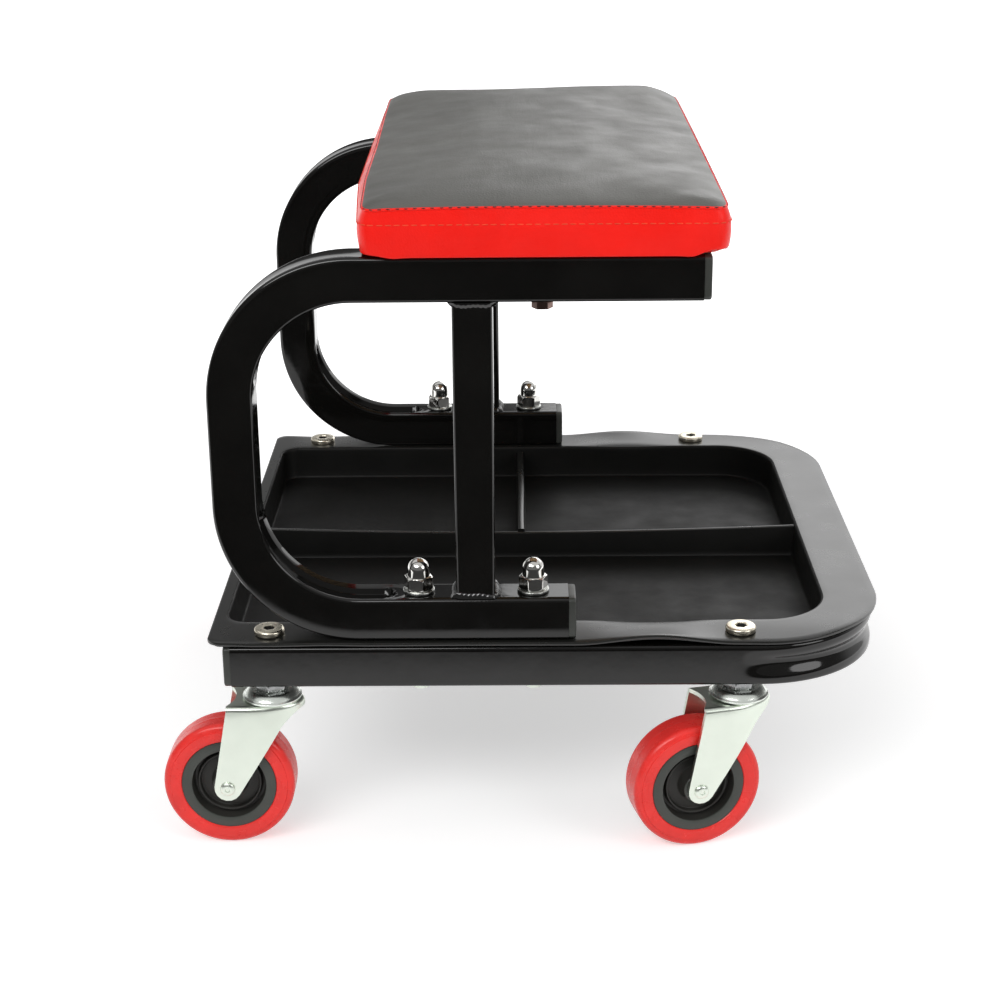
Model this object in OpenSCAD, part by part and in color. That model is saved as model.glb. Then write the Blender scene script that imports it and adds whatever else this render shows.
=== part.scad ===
// Rolling workshop seat: a padded board on two C-shaped side frames, a U-shaped base tube with a
// moulded tool tray, and four swivel casters. Millimetres, +Z up, +X to the front (the rounded end of
// the base), right side at -Y. The origin is on the floor below the middle of the bounding box.

/* [Frame] */
// Width over the outer faces of the two side frames and of the base tube
frame_w = 370; // [340:1:400]
// Height of a side frame from the foot's underside to the arm's top
frame_h = 220; // [200:1:250]
// Outer radius of the two bends of a side frame
frame_bend_r = 80; // [60:1:90]
// How far the open end of a foot lies past its front bolt
foot_past_bolt = 19.75; // [17:0.25:50]
// Length of an arm from the back of the side frame to the open tube end
arm_len = 267.5; // [255:0.5:290]
// Outer size of the square tube of the side frames and the base
tube = 25; // [24:0.5:27]
// Wall of the square tube
tube_wall = 1.5; // [1.2:0.1:2]
// Corner radius of the square tube
tube_round = 2.4; // [2.2:0.1:3]
// Outer size of the square post between foot and arm
post_w = 22; // [19:0.5:22]
// Distance of the post's axis from the back of the side frame
post_x = 144.5; // [135:0.5:147]
// Width of the weld bead along the front and back of a post
weld_leg = 3.5; // [2.5:0.1:4]

/* [Base] */
// Length of the base tube from its open rear ends to the front face
base_len = 373; // [350:1:400]
// Outer radius of the two front corners of the base tube
base_bend_r = 72; // [60:1:76]
// How far the rear ends of the base tube lie in front of the side frames' backs
base_setback = 5; // [3:0.5:10]

/* [Tray] */
// Thickness of the tray's rim
rim_t = 4; // [3:0.1:5]
// How far the rim reaches past the base tube at the sides
rim_side_lip = 1.5; // [0.5:0.1:3]
// How far the rim reaches past the base tube at the front
rim_front_lip = 2.5; // [0.5:0.1:5]
// How far the rim reaches behind the well
rim_rear_w = 8; // [7:0.5:12]
// Depth of the well from the rim's top to the floor
well_depth = 22; // [15:0.5:24]
// Wall of the well and its floor
tray_wall = 2; // [1.5:0.1:2.5]
// Gap between the well and the base tube at the sides
tray_gap = 1.5; // [1:0.1:3]
// Gap between the well and the base tube at the front
tray_front_gap = 3.5; // [2:0.1:6]
// Radius of the well's rear corners
well_rear_r = 12; // [8:1:16]
// Thickness of the long divider
divider_t = 3; // [2:0.1:4]
// Thickness of the short cross divider
cross_divider_t = 4.2; // [3:0.1:5]
// Distance of the cross divider from the side frames' backs
cross_divider_x = 170.5; // [150:0.5:200]
// How far the dividers stay below the rim's top
divider_drop = 4; // [3:0.5:8]

/* [Seat] */
// Size of the seat from rear to front
seat_w = 193; // [180:1:200]
// How far the seat reaches past the side frames at each side
seat_side_overhang = 4; // [3:0.5:10]
// Corner radius of the seat
seat_corner_r = 9; // [8:0.5:14]
// How far the seat reaches past the arms' open ends
seat_overhang = 11; // [8:0.5:20]
// Thickness of the seat board
board_t = 12; // [10:0.5:15]
// Height of the padded edge above the board
pad_edge_h = 12.7; // [10:0.1:20]
// Rise of the pad's middle above its edge
pad_crown = 5; // [3:0.5:8]
// How far the pad's sides are drawn in halfway between the corners
pad_draw = 1.6; // [0.5:0.1:2.5]
// Thickness of the vinyl
vinyl_t = 1; // [0.8:0.1:1.2]
// Width of the vinyl turned under the board
hem_w = 9; // [6:0.5:9]

/* [Casters] */
// Wheel diameter
wheel_d = 76.2; // [65:0.1:80]
// Width of the tyre
tread_w = 23; // [20:0.5:23.5]
// Radius of the tyre's shoulders
shoulder_r = 4; // [2:0.5:5]
// Diameter of the hub where it carries the tyre
hub_d = 55; // [50:0.5:58]
// Horizontal distance from the swivel axis to the axle
trail = 26.5; // [22:0.5:28]
// Height from the axle up to the top of the fork
axle_drop = 51.5; // [48:0.5:56]
// Outer width of a fork
fork_w = 32.6; // [32:0.1:34]
// Sheet thickness of a fork
fork_t = 2.5; // [2:0.1:2.5]
// Distance of the rear stems from the rear ends of the base tube
rear_stem_in = 21.5; // [20:0.5:40]
// Distance of the front stems from the front face of the base tube
front_stem_in = 83.5; // [83:0.5:100]
// Swivel angle at which the front casters stand
front_yaw = 14; // [0:1:30]

/* [Fasteners] */
// Radius of the frame bolts
bolt_r = 4; // [3.5:0.5:4]
// Distance between the two bolts of a foot
bolt_spacing = 64.5; // [56:0.5:70]
// Size across flats of the cap nuts
cap_nut_af = 14.5; // [13:0.5:15]
// Overall height of a cap nut
cap_nut_h = 18; // [16:0.5:20]
// Radius of the washers under the cap nuts
washer_r = 9; // [8.5:0.5:10]
// Thickness of those washers
washer_t = 2; // [1.2:0.1:2.5]
// Radius of the caster stems
stem_r = 5; // [4.5:0.1:5.5]
// Head radius of the round socket nuts on the rim
socket_nut_r = 8.65; // [8:0.05:9.5]
// Head height of those nuts
socket_nut_h = 3.3; // [2.5:0.1:5]
// Distance of the seat bolts in front of the posts' axes
seat_bolt_past_post = 37.5; // [30:0.5:45]
// Radius of the seat bolts
seat_bolt_r = 3; // [2.5:0.1:3.5]

/* [Hidden] */
$fn = 64;
// Overrun of cuts, and the gaps between pieces
over = 1;
fit_gap = 0.1;
run_gap = 0.06;
soft_gap = 0.3;
swivel_gap = 0.3;

// Casters from the floor up
wheel_r = wheel_d / 2;
axle_z = wheel_r;
fork_z = axle_z + axle_drop;
fork_boss_r = 15;
fork_boss_h = 0.4;
race_h = 5;
race_z = fork_z + fork_boss_h + swivel_gap;
lock_nut_h = 5;
lock_nut_af = 17;
lock_nut_z = race_z + race_h;
fork_bend_r = 4;
fork_nose_r = fork_w / 2;
fork_nose_x = 2.3;
fork_rear_in = 1.3;
fork_rear = trail - fork_rear_in;
fork_eye_r = 7.7;
fork_knee_x = 6;
fork_knee_drop = 13.5;
fork_nose_skirt = 4.4;
fork_inner_w = fork_w - 2 * fork_t;
axle_r = 3;
axle_head_r = 4.2;
axle_head_h = 1.8;
sleeve_r = 5;
hub_boss_r = 9;
hub_side_gap = 0.8;
hub_w = fork_inner_w - 2 * hub_side_gap;
hub_rim_t = 6;
hub_recess_r = hub_d / 2 - hub_rim_t;
hub_web_t = 7;
hub_rim_in = 0.5;
hub_rim_w = tread_w - 2 * hub_rim_in;
ball_r = 1.5;
ball_count = 14;
ball_pitch_r = 11;
race_r = 17;
race_brim_h = 1.4;
race_top_r = 11.5;
race_groove_r = ball_pitch_r + ball_r + soft_gap;
lower_race_r = 11.5;
lower_race_t = 2;
rivet_r = 8;
rivet_h = 3;
race_hub_r = ball_pitch_r - ball_r - soft_gap;
lower_race_z = fork_z + fork_boss_h - fork_t - swivel_gap - lower_race_t;

// Heights of the frame and the seat
base_z = lock_nut_z + lock_nut_h;
rim_z = base_z + tube;
foot_z = rim_z + rim_t;
foot_top_z = foot_z + tube;
arm_top_z = foot_z + frame_h;
arm_z = arm_top_z - tube;
board_z = arm_top_z + vinyl_t;
foam_z = board_z + board_t;
seam_z = foam_z + pad_edge_h;

// Plan positions, measured from the backs of the side frames
x_rear = base_setback + rear_stem_in - trail - wheel_r;
x_front = base_setback + base_len + rim_front_lip;
x_mid = (x_rear + x_front) / 2;
tube_y = (frame_w - tube) / 2;
foot_len = post_x + bolt_spacing / 2 + foot_past_bolt;
base_front_x = base_setback + base_len;
rear_stem_x = base_setback + rear_stem_in;
front_stem_x = base_front_x - front_stem_in;
seat_l = frame_w + 2 * seat_side_overhang;
seat_x = arm_len + seat_overhang - seat_w / 2;
well_x0 = 0;
well_x1 = base_front_x - tube - tray_front_gap - tray_wall;
well_half_w = frame_w / 2 - tube - tray_gap - tray_wall;
// The well's front corners keep this distance from the inside of the base tube's bends
well_corner_gap = 0.6;
well_front_r = base_bend_r - tube - tray_wall
    + (well_corner_gap - (tray_gap + tray_front_gap) / sqrt(2)) / (sqrt(2) - 1);
floor_z = foot_z - well_depth;

// Fasteners
bolt_head_r = 7;
bolt_head_h = 4.4;
bolt_crown_r = 4.8;
bolt_rim_h = 1.2;
bolt_socket_af = 5;
bolt_socket_h = 2.6;
cap_nut_hex_share = 0.42;
cap_nut_dome_share = 0.43;
cap_nut_hex_h = cap_nut_h * cap_nut_hex_share;
cap_nut_dome_r = cap_nut_af * cap_nut_dome_share;
bolt_in_nut = cap_nut_h - cap_nut_dome_r - 2 * fit_gap;
socket_sleeve_t = 1.5;
socket_sleeve_r = stem_r + socket_sleeve_t;
socket_sleeve_l = 14;
socket_af = 6;
socket_floor = 0.3;
socket_depth = socket_nut_h - socket_floor;
socket_chamfer = 0.7;
stem_short = 1;
stem_top_z = foot_z - stem_short;
seat_bolt_head_af = 10;
seat_bolt_head_h = 4;
seat_washer_r = 7;
seat_washer_t = 1.6;
tee_barrel_t = 1;
tee_barrel_r = seat_bolt_r + tee_barrel_t;
tee_flange_r = 8.5;
tee_flange_t = 1.2;
tee_barrel_short = 3;
tee_barrel_h = board_t - tee_barrel_short;
plug_head_t = 4.3;
plug_head_in = 0.4;
plug_head_w = tube - 2 * plug_head_in;
plug_body_l = 10;
plug_body_w = tube - 2 * tube_wall - 2 * fit_gap;
staple_l = 10;
staple_w = 1;
staple_t = 0.6;
staple_count = 9;

// Facets of the soft pieces
arc_steps = 4;
long_steps = 7;
short_steps = 3;
// Rings of the crowned top, as shares of the way from the edge to the middle
crown_shares = [0, 0.06, 0.16, 0.34, 0.6];
crown_power = 3.2;
// Least corner radius of an inner ring, as a share of the seat's corner radius
least_corner_share = 1 / 3;

// Moves what is measured from the side frames' backs to the part's own frame
module place() { translate([-x_mid, 0, 0]) children(); }

// Copies a thing to both sides, mirrored
module both_sides() {
    children();
    mirror([0, 1, 0]) children();
}

// Square with round corners, centred
module rounded_square(size, r) {
    square([size, size - 2 * r], center = true);
    square([size - 2 * r, size], center = true);
    for (sx = [-1, 1], sy = [-1, 1])
        translate([sx * (size / 2 - r), sy * (size / 2 - r)]) circle(r);
}

// Plate outline with its own corner radius at the rear and at the front
module plate_outline(x0, x1, half_w, rear_r, front_r) {
    translate([x0 + rear_r, -half_w]) square([x1 - x0 - rear_r - front_r, 2 * half_w]);
    translate([x0, -half_w + rear_r]) square([rear_r + over, 2 * (half_w - rear_r)]);
    translate([x1 - front_r - over, -half_w + front_r]) square([front_r + over, 2 * (half_w - front_r)]);
    for (sy = [-1, 1]) {
        translate([x0 + rear_r, sy * (half_w - rear_r)]) circle(rear_r);
        translate([x1 - front_r, sy * (half_w - front_r)]) circle(front_r, $fn = 2 * $fn);
    }
}

module tube_section(size, wall, r) {
    difference() {
        rounded_square(size, r);
        rounded_square(size - 2 * wall, r - wall);
    }
}

// Straight square tube along +X, its axis on the X axis
module straight_tube(length, size, wall, r) {
    rotate([90, 0, 90]) linear_extrude(length) tube_section(size, wall, r);
}

// Quarter bend of square tube about the Z axis, from the X axis to the Y axis
module tube_bend(outer_r, size, wall, r) {
    rotate_extrude(angle = 90) translate([outer_r - size / 2, 0]) tube_section(size, wall, r);
}

// Plastic plug: a head outside the tube end and a body inside it, along +X
module tube_plug() {
    rotate([90, 0, 90]) linear_extrude(plug_head_t) rounded_square(plug_head_w, tube_round);
    translate([-plug_body_l, 0, 0]) rotate([90, 0, 90])
        linear_extrude(plug_body_l + fit_gap) rounded_square(plug_body_w, tube_round - tube_wall);
}

module hex_prism(af, h) { cylinder(h = h, r = af / sqrt(3), $fn = 6); }

module ring(outer_r, inner_r, h) {
    difference() {
        cylinder(h = h, r = outer_r);
        translate([0, 0, -over]) cylinder(h = h + 2 * over, r = inner_r);
    }
}

// Places of the four frame bolts, and of the four stems
module at_frame_bolts() {
    place() for (sy = [-1, 1], sx = [-1, 1])
        translate([post_x + sx * bolt_spacing / 2, sy * tube_y, 0]) children();
}

module at_stems() {
    place() for (sy = [-1, 1], x = [rear_stem_x, front_stem_x])
        translate([x, sy * tube_y, 0]) children();
}

module at_seat_bolts() {
    place() for (sy = [-1, 1]) translate([post_x + seat_bolt_past_post, sy * tube_y, 0]) children();
}

module base_tube() {
    color("#181817") difference() {
        place() translate([0, 0, base_z + tube / 2]) {
            both_sides() {
                translate([base_setback, tube_y, 0])
                    straight_tube(base_len - base_bend_r, tube, tube_wall, tube_round);
                translate([base_front_x - base_bend_r, frame_w / 2 - base_bend_r, 0])
                    tube_bend(base_bend_r, tube, tube_wall, tube_round, $fn = 2 * $fn);
            }
            translate([base_front_x - tube / 2, base_bend_r - frame_w / 2, 0]) rotate([0, 0, 90])
                straight_tube(frame_w - 2 * base_bend_r, tube, tube_wall, tube_round);
        }
        translate([0, 0, base_z - over]) {
            at_frame_bolts() cylinder(h = tube + 2 * over, r = bolt_r + soft_gap);
            at_stems() cylinder(h = tube, r = stem_r + fit_gap);
        }
        translate([0, 0, base_z + tube / 2])
            at_stems() cylinder(h = tube, r = socket_sleeve_r + fit_gap);
    }
}

module base_end_caps() {
    color("#20201f") place() both_sides() translate([base_setback, tube_y, base_z + tube / 2])
        rotate([0, 0, 180]) tube_plug();
}

module tool_tray() {
    rim_front_r = base_bend_r + rim_side_lip;
    color("#1d1d1c") difference() {
        place() {
            translate([0, 0, rim_z]) linear_extrude(rim_t) difference() {
                plate_outline(well_x0 - rim_rear_w, x_front, frame_w / 2 + rim_side_lip, rim_rear_w,
                              rim_front_r);
                plate_outline(well_x0, well_x1, well_half_w, well_rear_r, well_front_r);
            }
            translate([0, 0, floor_z - tray_wall])
                linear_extrude(rim_z + rim_t / 2 - floor_z + tray_wall) difference() {
                    plate_outline(well_x0 - tray_wall, well_x1 + tray_wall, well_half_w + tray_wall,
                                  well_rear_r + tray_wall, well_front_r + tray_wall);
                    plate_outline(well_x0, well_x1, well_half_w, well_rear_r, well_front_r);
                }
            translate([0, 0, floor_z - tray_wall]) linear_extrude(tray_wall)
                plate_outline(well_x0 - tray_wall / 2, well_x1 + tray_wall / 2,
                              well_half_w + tray_wall / 2, well_rear_r, well_front_r);
            translate([well_x0 - tray_wall / 2, -divider_t / 2, floor_z - tray_wall / 2])
                cube([well_x1 - well_x0 + tray_wall, divider_t,
                      well_depth - divider_drop + tray_wall / 2]);
            translate([cross_divider_x - cross_divider_t / 2, 0, floor_z - tray_wall / 2])
                cube([cross_divider_t, well_half_w + tray_wall / 2,
                      well_depth - divider_drop + tray_wall / 2]);
        }
        translate([0, 0, rim_z - over]) {
            at_frame_bolts() cylinder(h = rim_t + 2 * over, r = bolt_r + soft_gap);
            at_stems() cylinder(h = rim_t + 2 * over, r = socket_sleeve_r + fit_gap);
        }
    }
}

// Bent tube of one side frame in the XY plane: foot along the X axis, back along the Y axis
module c_tube() {
    back_l = frame_h - 2 * frame_bend_r;
    translate([frame_bend_r, tube / 2, 0])
        straight_tube(foot_len - frame_bend_r, tube, tube_wall, tube_round);
    translate([frame_bend_r, frame_h - tube / 2, 0])
        straight_tube(arm_len - frame_bend_r, tube, tube_wall, tube_round);
    translate([tube / 2, frame_bend_r, 0]) rotate([0, 0, 90])
        straight_tube(back_l, tube, tube_wall, tube_round);
    translate([frame_bend_r, frame_bend_r, 0]) rotate([0, 0, 180])
        tube_bend(frame_bend_r, tube, tube_wall, tube_round, $fn = 2 * $fn);
    translate([frame_bend_r, frame_h - frame_bend_r, 0]) rotate([0, 0, 90])
        tube_bend(frame_bend_r, tube, tube_wall, tube_round, $fn = 2 * $fn);
}

module side_frame(side) {
    color("#161615") difference() {
        place() translate([0, side * tube_y, foot_z]) rotate([90, 0, 0]) c_tube();
        translate([0, 0, foot_z - over])
            at_frame_bolts() cylinder(h = tube + 2 * over, r = bolt_r + soft_gap);
        translate([0, 0, arm_z - over])
            at_seat_bolts() cylinder(h = tube + 2 * over, r = seat_bolt_r + soft_gap);
    }
}

module post(side) {
    color("#161615") place() translate([post_x, side * tube_y, foot_top_z]) rotate([0, -90, 0])
        straight_tube(arm_z - foot_top_z, post_w, tube_wall, tube_round);
}

// One weld bead round the foot of a post: four triangular runs
module weld_ring() {
    side_leg = (tube - post_w) / 2;
    difference() {
        union() {
            for (s = [-1, 1]) {
                translate([s * post_w / 2, 0, 0]) rotate([90, 0, 0])
                    linear_extrude(tube, center = true)
                        polygon([[0, 0], [s * weld_leg, 0], [0, weld_leg]]);
                translate([0, s * post_w / 2, 0]) rotate([90, 0, 90])
                    linear_extrude(post_w + weld_leg, center = true)
                        polygon([[0, 0], [s * side_leg, 0], [0, weld_leg]]);
            }
        }
        translate([0, 0, weld_leg / 2])
            linear_extrude(weld_leg + 2 * over, center = true) rounded_square(post_w, tube_round);
    }
}

module post_welds(side) {
    color("#1b1b1a") place() {
        translate([post_x, side * tube_y, foot_top_z]) weld_ring();
        translate([post_x, side * tube_y, arm_z]) mirror([0, 0, 1]) weld_ring();
    }
}

module arm_end_caps() {
    color("#20201f") place() both_sides() translate([arm_len, tube_y, arm_z + tube / 2]) tube_plug();
}

module foot_end_caps() {
    color("#20201f") place() both_sides() translate([foot_len, tube_y, foot_z + tube / 2]) tube_plug();
}

// Low round-head bolts, up through the base tube, the rim and the foot
module frame_bolts() {
    shank_l = tube + rim_t + tube + washer_t + bolt_in_nut;
    color("#c4c6c4") at_frame_bolts() translate([0, 0, base_z]) {
        difference() {
            rotate_extrude() polygon([[0, 0], [bolt_head_r, 0], [bolt_head_r, -bolt_rim_h],
                                      [bolt_crown_r, -bolt_head_h], [0, -bolt_head_h]]);
            translate([0, 0, -bolt_head_h - over]) hex_prism(bolt_socket_af, bolt_socket_h + over);
        }
        cylinder(h = shank_l, r = bolt_r);
    }
}

module cap_nut_washers() {
    color("#d3d4d0") at_frame_bolts() translate([0, 0, foot_top_z])
        ring(washer_r, bolt_r + fit_gap, washer_t);
}

module cap_nuts() {
    neck_z = cap_nut_h - cap_nut_dome_r;
    color("#dedfda") at_frame_bolts() translate([0, 0, foot_top_z + washer_t]) difference() {
        union() {
            hex_prism(cap_nut_af, cap_nut_hex_h);
            cylinder(h = neck_z, r = cap_nut_dome_r);
            translate([0, 0, neck_z]) sphere(cap_nut_dome_r);
        }
        translate([0, 0, -over]) cylinder(h = bolt_in_nut + fit_gap + over, r = bolt_r + fit_gap);
    }
}

// Round nut with a hex socket: its head on the rim, its sleeve down into the base tube
module socket_nuts() {
    color("#d9cdb0") at_stems() translate([0, 0, foot_z]) difference() {
        rotate_extrude() polygon([[0, -socket_sleeve_l], [socket_sleeve_r, -socket_sleeve_l],
                                  [socket_sleeve_r, 0], [socket_nut_r, 0],
                                  [socket_nut_r, socket_nut_h - socket_chamfer],
                                  [socket_nut_r - socket_chamfer, socket_nut_h], [0, socket_nut_h]]);
        translate([0, 0, socket_nut_h - socket_depth]) hex_prism(socket_af, socket_depth + over);
        translate([0, 0, -socket_sleeve_l - over])
            cylinder(h = socket_sleeve_l + stem_top_z - foot_z + over + fit_gap, r = stem_r + fit_gap);
    }
}

// Places of the outline's points for a soft piece, counterclockwise from the front right corner
function corner_points(cx, cy, r, from) =
    [for (k = [0 : arc_steps]) [cx + r * cos(from + 90 * k / arc_steps),
                                cy + r * sin(from + 90 * k / arc_steps)]];
function side_points(p, q, steps, draw) =
    let (d = q - p, inward = [-d[1], d[0]] / norm(d))
    [for (k = [1 : steps]) let (t = k / (steps + 1)) p + t * d + draw * 4 * t * (1 - t) * inward];
function seat_outline(inset, draw) =
    let (a = seat_w / 2 - inset, b = seat_l / 2 - inset,
         r = max(seat_corner_r - inset, seat_corner_r * least_corner_share),
         fr = corner_points(a - r, r - b, r, -90), fl = corner_points(a - r, b - r, r, 0),
         rl = corner_points(r - a, b - r, r, 90), rr = corner_points(r - a, r - b, r, 180))
    concat(fr, side_points(fr[arc_steps], fl[0], long_steps, draw),
           fl, side_points(fl[arc_steps], rl[0], short_steps, draw),
           rl, side_points(rl[arc_steps], rr[0], long_steps, draw),
           rr, side_points(rr[arc_steps], fr[0], short_steps, draw));
function seat_ring(inset, draw, z) = [for (p = seat_outline(inset, draw)) [p[0], p[1], z]];
// Ring of the crowned top at a share of the way from the edge to the middle
function crown_ring(inset, share, z) =
    [for (p = seat_outline(inset, pad_draw))
        [p[0] * (1 - share), p[1] * (1 - share), z + pad_crown * (1 - pow(1 - share, crown_power))]];

// Closed solid through rings of equally many points. With two end heights a fan about the middle axis
// closes each end, and without them the last ring joins the first.
module ring_solid(rings, end_heights = []) {
    n = len(rings[0]);
    m = len(rings);
    closed = len(end_heights) == 0;
    walls = [for (j = [0 : (closed ? m : m - 1) - 1], i = [0 : n - 1])
        let (a = j * n + i, b = j * n + (i + 1) % n, c = ((j + 1) % m) * n + i,
             d = ((j + 1) % m) * n + (i + 1) % n)
        each [[a, c, b], [b, c, d]]];
    fans = closed ? [] : [for (i = [0 : n - 1])
        each [[n * m, i, (i + 1) % n], [n * m + 1, (m - 1) * n + (i + 1) % n, (m - 1) * n + i]]];
    points = concat([for (r = rings, p = r) p], [for (z = end_heights) [0, 0, z]]);
    polyhedron(points = points, faces = concat(walls, fans));
}

module seat_board() {
    inset = vinyl_t + soft_gap;
    half_w = seat_w / 2 - inset;
    half_l = seat_l / 2 - inset;
    r = seat_corner_r - inset;
    color("#b98f5e") difference() {
        place() translate([seat_x, 0, board_z]) linear_extrude(board_t)
            plate_outline(-half_w, half_w, half_l, r, r);
        translate([0, 0, board_z - over])
            at_seat_bolts() cylinder(h = board_t + 2 * over, r = tee_barrel_r + fit_gap);
        translate([0, 0, foam_z - tee_flange_t])
            at_seat_bolts() cylinder(h = tee_flange_t + over, r = tee_flange_r + fit_gap);
    }
}

module seat_foam() {
    inset = vinyl_t + soft_gap;
    rings = concat([seat_ring(inset, 0, foam_z), seat_ring(inset, pad_draw / 2, foam_z + pad_edge_h / 2)],
                   [for (s = crown_shares) crown_ring(inset, s, seam_z)]);
    color("#e3d9b4") place() translate([seat_x, 0, 0]) ring_solid(rings, [foam_z, seam_z + pad_crown]);
}

module seat_top_cover() {
    low_z = seam_z + soft_gap;
    top = [for (s = crown_shares) crown_ring(0, s, low_z + vinyl_t)];
    below = [for (s = crown_shares) crown_ring(0, s, low_z)];
    color("#3a3936") place() translate([seat_x, 0, 0])
        ring_solid(concat([for (j = [len(below) - 1 : -1 : 0]) below[j]], top),
                   [low_z + pad_crown, low_z + vinyl_t + pad_crown]);
}

module seat_side_band() {
    top_z = seam_z + soft_gap;
    mid_z = foam_z + pad_edge_h / 2;
    color("#e8301f") place() translate([seat_x, 0, 0]) ring_solid([
        seat_ring(hem_w, 0, arm_top_z), seat_ring(vinyl_t / 2, 0, arm_top_z),
        seat_ring(0, 0, arm_top_z + vinyl_t / 2), seat_ring(0, 0, foam_z),
        seat_ring(0, pad_draw / 2, mid_z), seat_ring(0, pad_draw, top_z),
        seat_ring(vinyl_t, pad_draw, top_z), seat_ring(vinyl_t, pad_draw / 2, mid_z),
        seat_ring(vinyl_t, 0, foam_z), seat_ring(vinyl_t, 0, board_z),
        seat_ring(hem_w, 0, board_z)]);
}

module seat_bolts() {
    shank_l = seat_washer_t + tube + vinyl_t + board_t - tee_flange_t;
    color("#b9b4a6") at_seat_bolts() translate([0, 0, arm_z - seat_washer_t]) {
        translate([0, 0, -seat_bolt_head_h]) hex_prism(seat_bolt_head_af, seat_bolt_head_h);
        cylinder(h = shank_l, r = seat_bolt_r);
    }
}

module seat_bolt_washers() {
    color("#b9b4a6") at_seat_bolts() translate([0, 0, arm_z - seat_washer_t])
        ring(seat_washer_r, seat_bolt_r + fit_gap, seat_washer_t);
}

module tee_nuts() {
    color("#c9c7bd") at_seat_bolts() translate([0, 0, foam_z - tee_flange_t]) {
        ring(tee_flange_r, seat_bolt_r + fit_gap, tee_flange_t);
        translate([0, 0, -tee_barrel_h]) ring(tee_barrel_r, seat_bolt_r + fit_gap, tee_barrel_h);
    }
}

// Staples through the hem, along the front and the rear edge of the board
module staples() {
    span = frame_w - 2 * tube - 4 * staple_l;
    color("#c7c9c8") place() for (sx = [-1, 1], k = [0 : staple_count - 1])
        translate([seat_x + sx * (seat_w - hem_w) / 2, span * (k / (staple_count - 1) - 1 / 2),
                   arm_top_z - staple_t / 2])
            cube([staple_w, staple_l, staple_t], center = true);
}

module caster_stems() {
    head_z = lower_race_z - rivet_h;
    color("#cfd3d2") at_stems() {
        translate([0, 0, head_z]) cylinder(h = rivet_h, r = rivet_r);
        translate([0, 0, head_z]) cylinder(h = stem_top_z - head_z, r = stem_r);
    }
}

module stem_lock_nuts() {
    color("#6d6f70") at_stems() translate([0, 0, lock_nut_z]) difference() {
        hex_prism(lock_nut_af, lock_nut_h);
        translate([0, 0, -over]) cylinder(h = lock_nut_h + 2 * over, r = stem_r + fit_gap);
    }
}

module upper_races() {
    groove_h = 2 * ball_r + fit_gap;
    color("#d6dad8") at_stems() translate([0, 0, race_z]) rotate_extrude()
        polygon([[stem_r + fit_gap, 0], [race_hub_r, 0], [race_hub_r, groove_h],
                 [race_groove_r, groove_h], [race_groove_r, 0], [race_r, 0], [race_r, race_brim_h],
                 [race_top_r, race_h], [stem_r + fit_gap, race_h]]);
}

module bearing_balls() {
    color("#e4e7e6") at_stems() for (k = [0 : ball_count - 1])
        rotate([0, 0, 360 * k / ball_count]) translate([ball_pitch_r, 0, race_z + ball_r])
            sphere(ball_r);
}

module lower_races() {
    color("#c3c8c6") at_stems() translate([0, 0, lower_race_z])
        ring(lower_race_r, stem_r + fit_gap, lower_race_t);
}

// Moves what is modelled about a caster's stem, with the wheel trailing to -X, to its corner
module at_caster(x, side, yaw) {
    place() translate([x, side * tube_y, 0]) rotate([0, 0, -side * yaw]) children();
}

// Point where a line from p touches a circle, on the side that the sign picks
function touch_point(p, c, r, sign) =
    let (d = c - p, l = norm(d), a = atan2(d[1], d[0]) + sign * asin(r / l), t = sqrt(l * l - r * r))
    p + t * [cos(a), sin(a)];

// Side outline of a fork in the XZ plane, from the top of the plate down to the axle eyes
module fork_outline() {
    eye = [-trail, -axle_drop];
    rear = [-fork_rear, 0];
    knee = [fork_knee_x, -fork_knee_drop];
    translate(eye) circle(fork_eye_r);
    nose_x = fork_nose_x + fork_nose_r + over;
    polygon([rear, [nose_x, 0], [nose_x, -fork_nose_skirt], knee,
             touch_point(knee, eye, fork_eye_r, 1), eye, touch_point(rear, eye, fork_eye_r, -1)]);
}

// Half section of the pressed sheet: a flat top that bends down into a side wall
module sheet_half(half_w, depth, bend_r) {
    translate([0, -bend_r]) square([half_w - bend_r, bend_r]);
    translate([0, -depth]) square([half_w, depth - bend_r]);
    translate([half_w - bend_r, -bend_r]) intersection() {
        circle(bend_r);
        square(2 * bend_r);
    }
}

module sheet_section() {
    depth = axle_drop + fork_eye_r + over;
    difference() {
        sheet_half(fork_w / 2, depth, fork_bend_r);
        translate([0, -fork_t]) sheet_half(fork_inner_w / 2, depth, fork_bend_r - fork_t);
    }
}

// Keeps what lies within the fork's side outline
module trimmed_to_fork() {
    intersection() {
        children();
        rotate([90, 0, 0]) linear_extrude(fork_w + 2 * over, center = true) fork_outline();
    }
}

// Pressed fork: side walls and a half-round nose, and a raised boss under the upper race
module fork() {
    back_l = fork_nose_x + trail + fork_eye_r + over;
    color("#dde3e1") translate([0, 0, fork_z]) difference() {
        union() {
            trimmed_to_fork() translate([fork_nose_x, 0, 0]) rotate([90, 0, -90])
                linear_extrude(back_l) {
                    sheet_section();
                    mirror([1, 0, 0]) sheet_section();
                }
            trimmed_to_fork() translate([fork_nose_x, 0, 0]) rotate([0, 0, -90])
                rotate_extrude(angle = 180) sheet_section();
            translate([0, 0, -fork_t / 2]) cylinder(h = fork_boss_h + fork_t / 2, r = fork_boss_r);
        }
        translate([0, 0, -fork_t - over])
            cylinder(h = fork_boss_h + over, r = fork_boss_r - fork_t);
        translate([0, 0, -fork_t - over])
            cylinder(h = fork_boss_h + fork_t + 2 * over, r = stem_r + run_gap);
        translate([-trail, 0, -axle_drop]) rotate([90, 0, 0])
            cylinder(h = fork_w + 2 * over, r = axle_r + fit_gap, center = true);
    }
}

// Turns what is modelled about the Z axis onto the axle
module on_axle() { translate([-trail, 0, axle_z]) rotate([90, 0, 0]) children(); }

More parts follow.
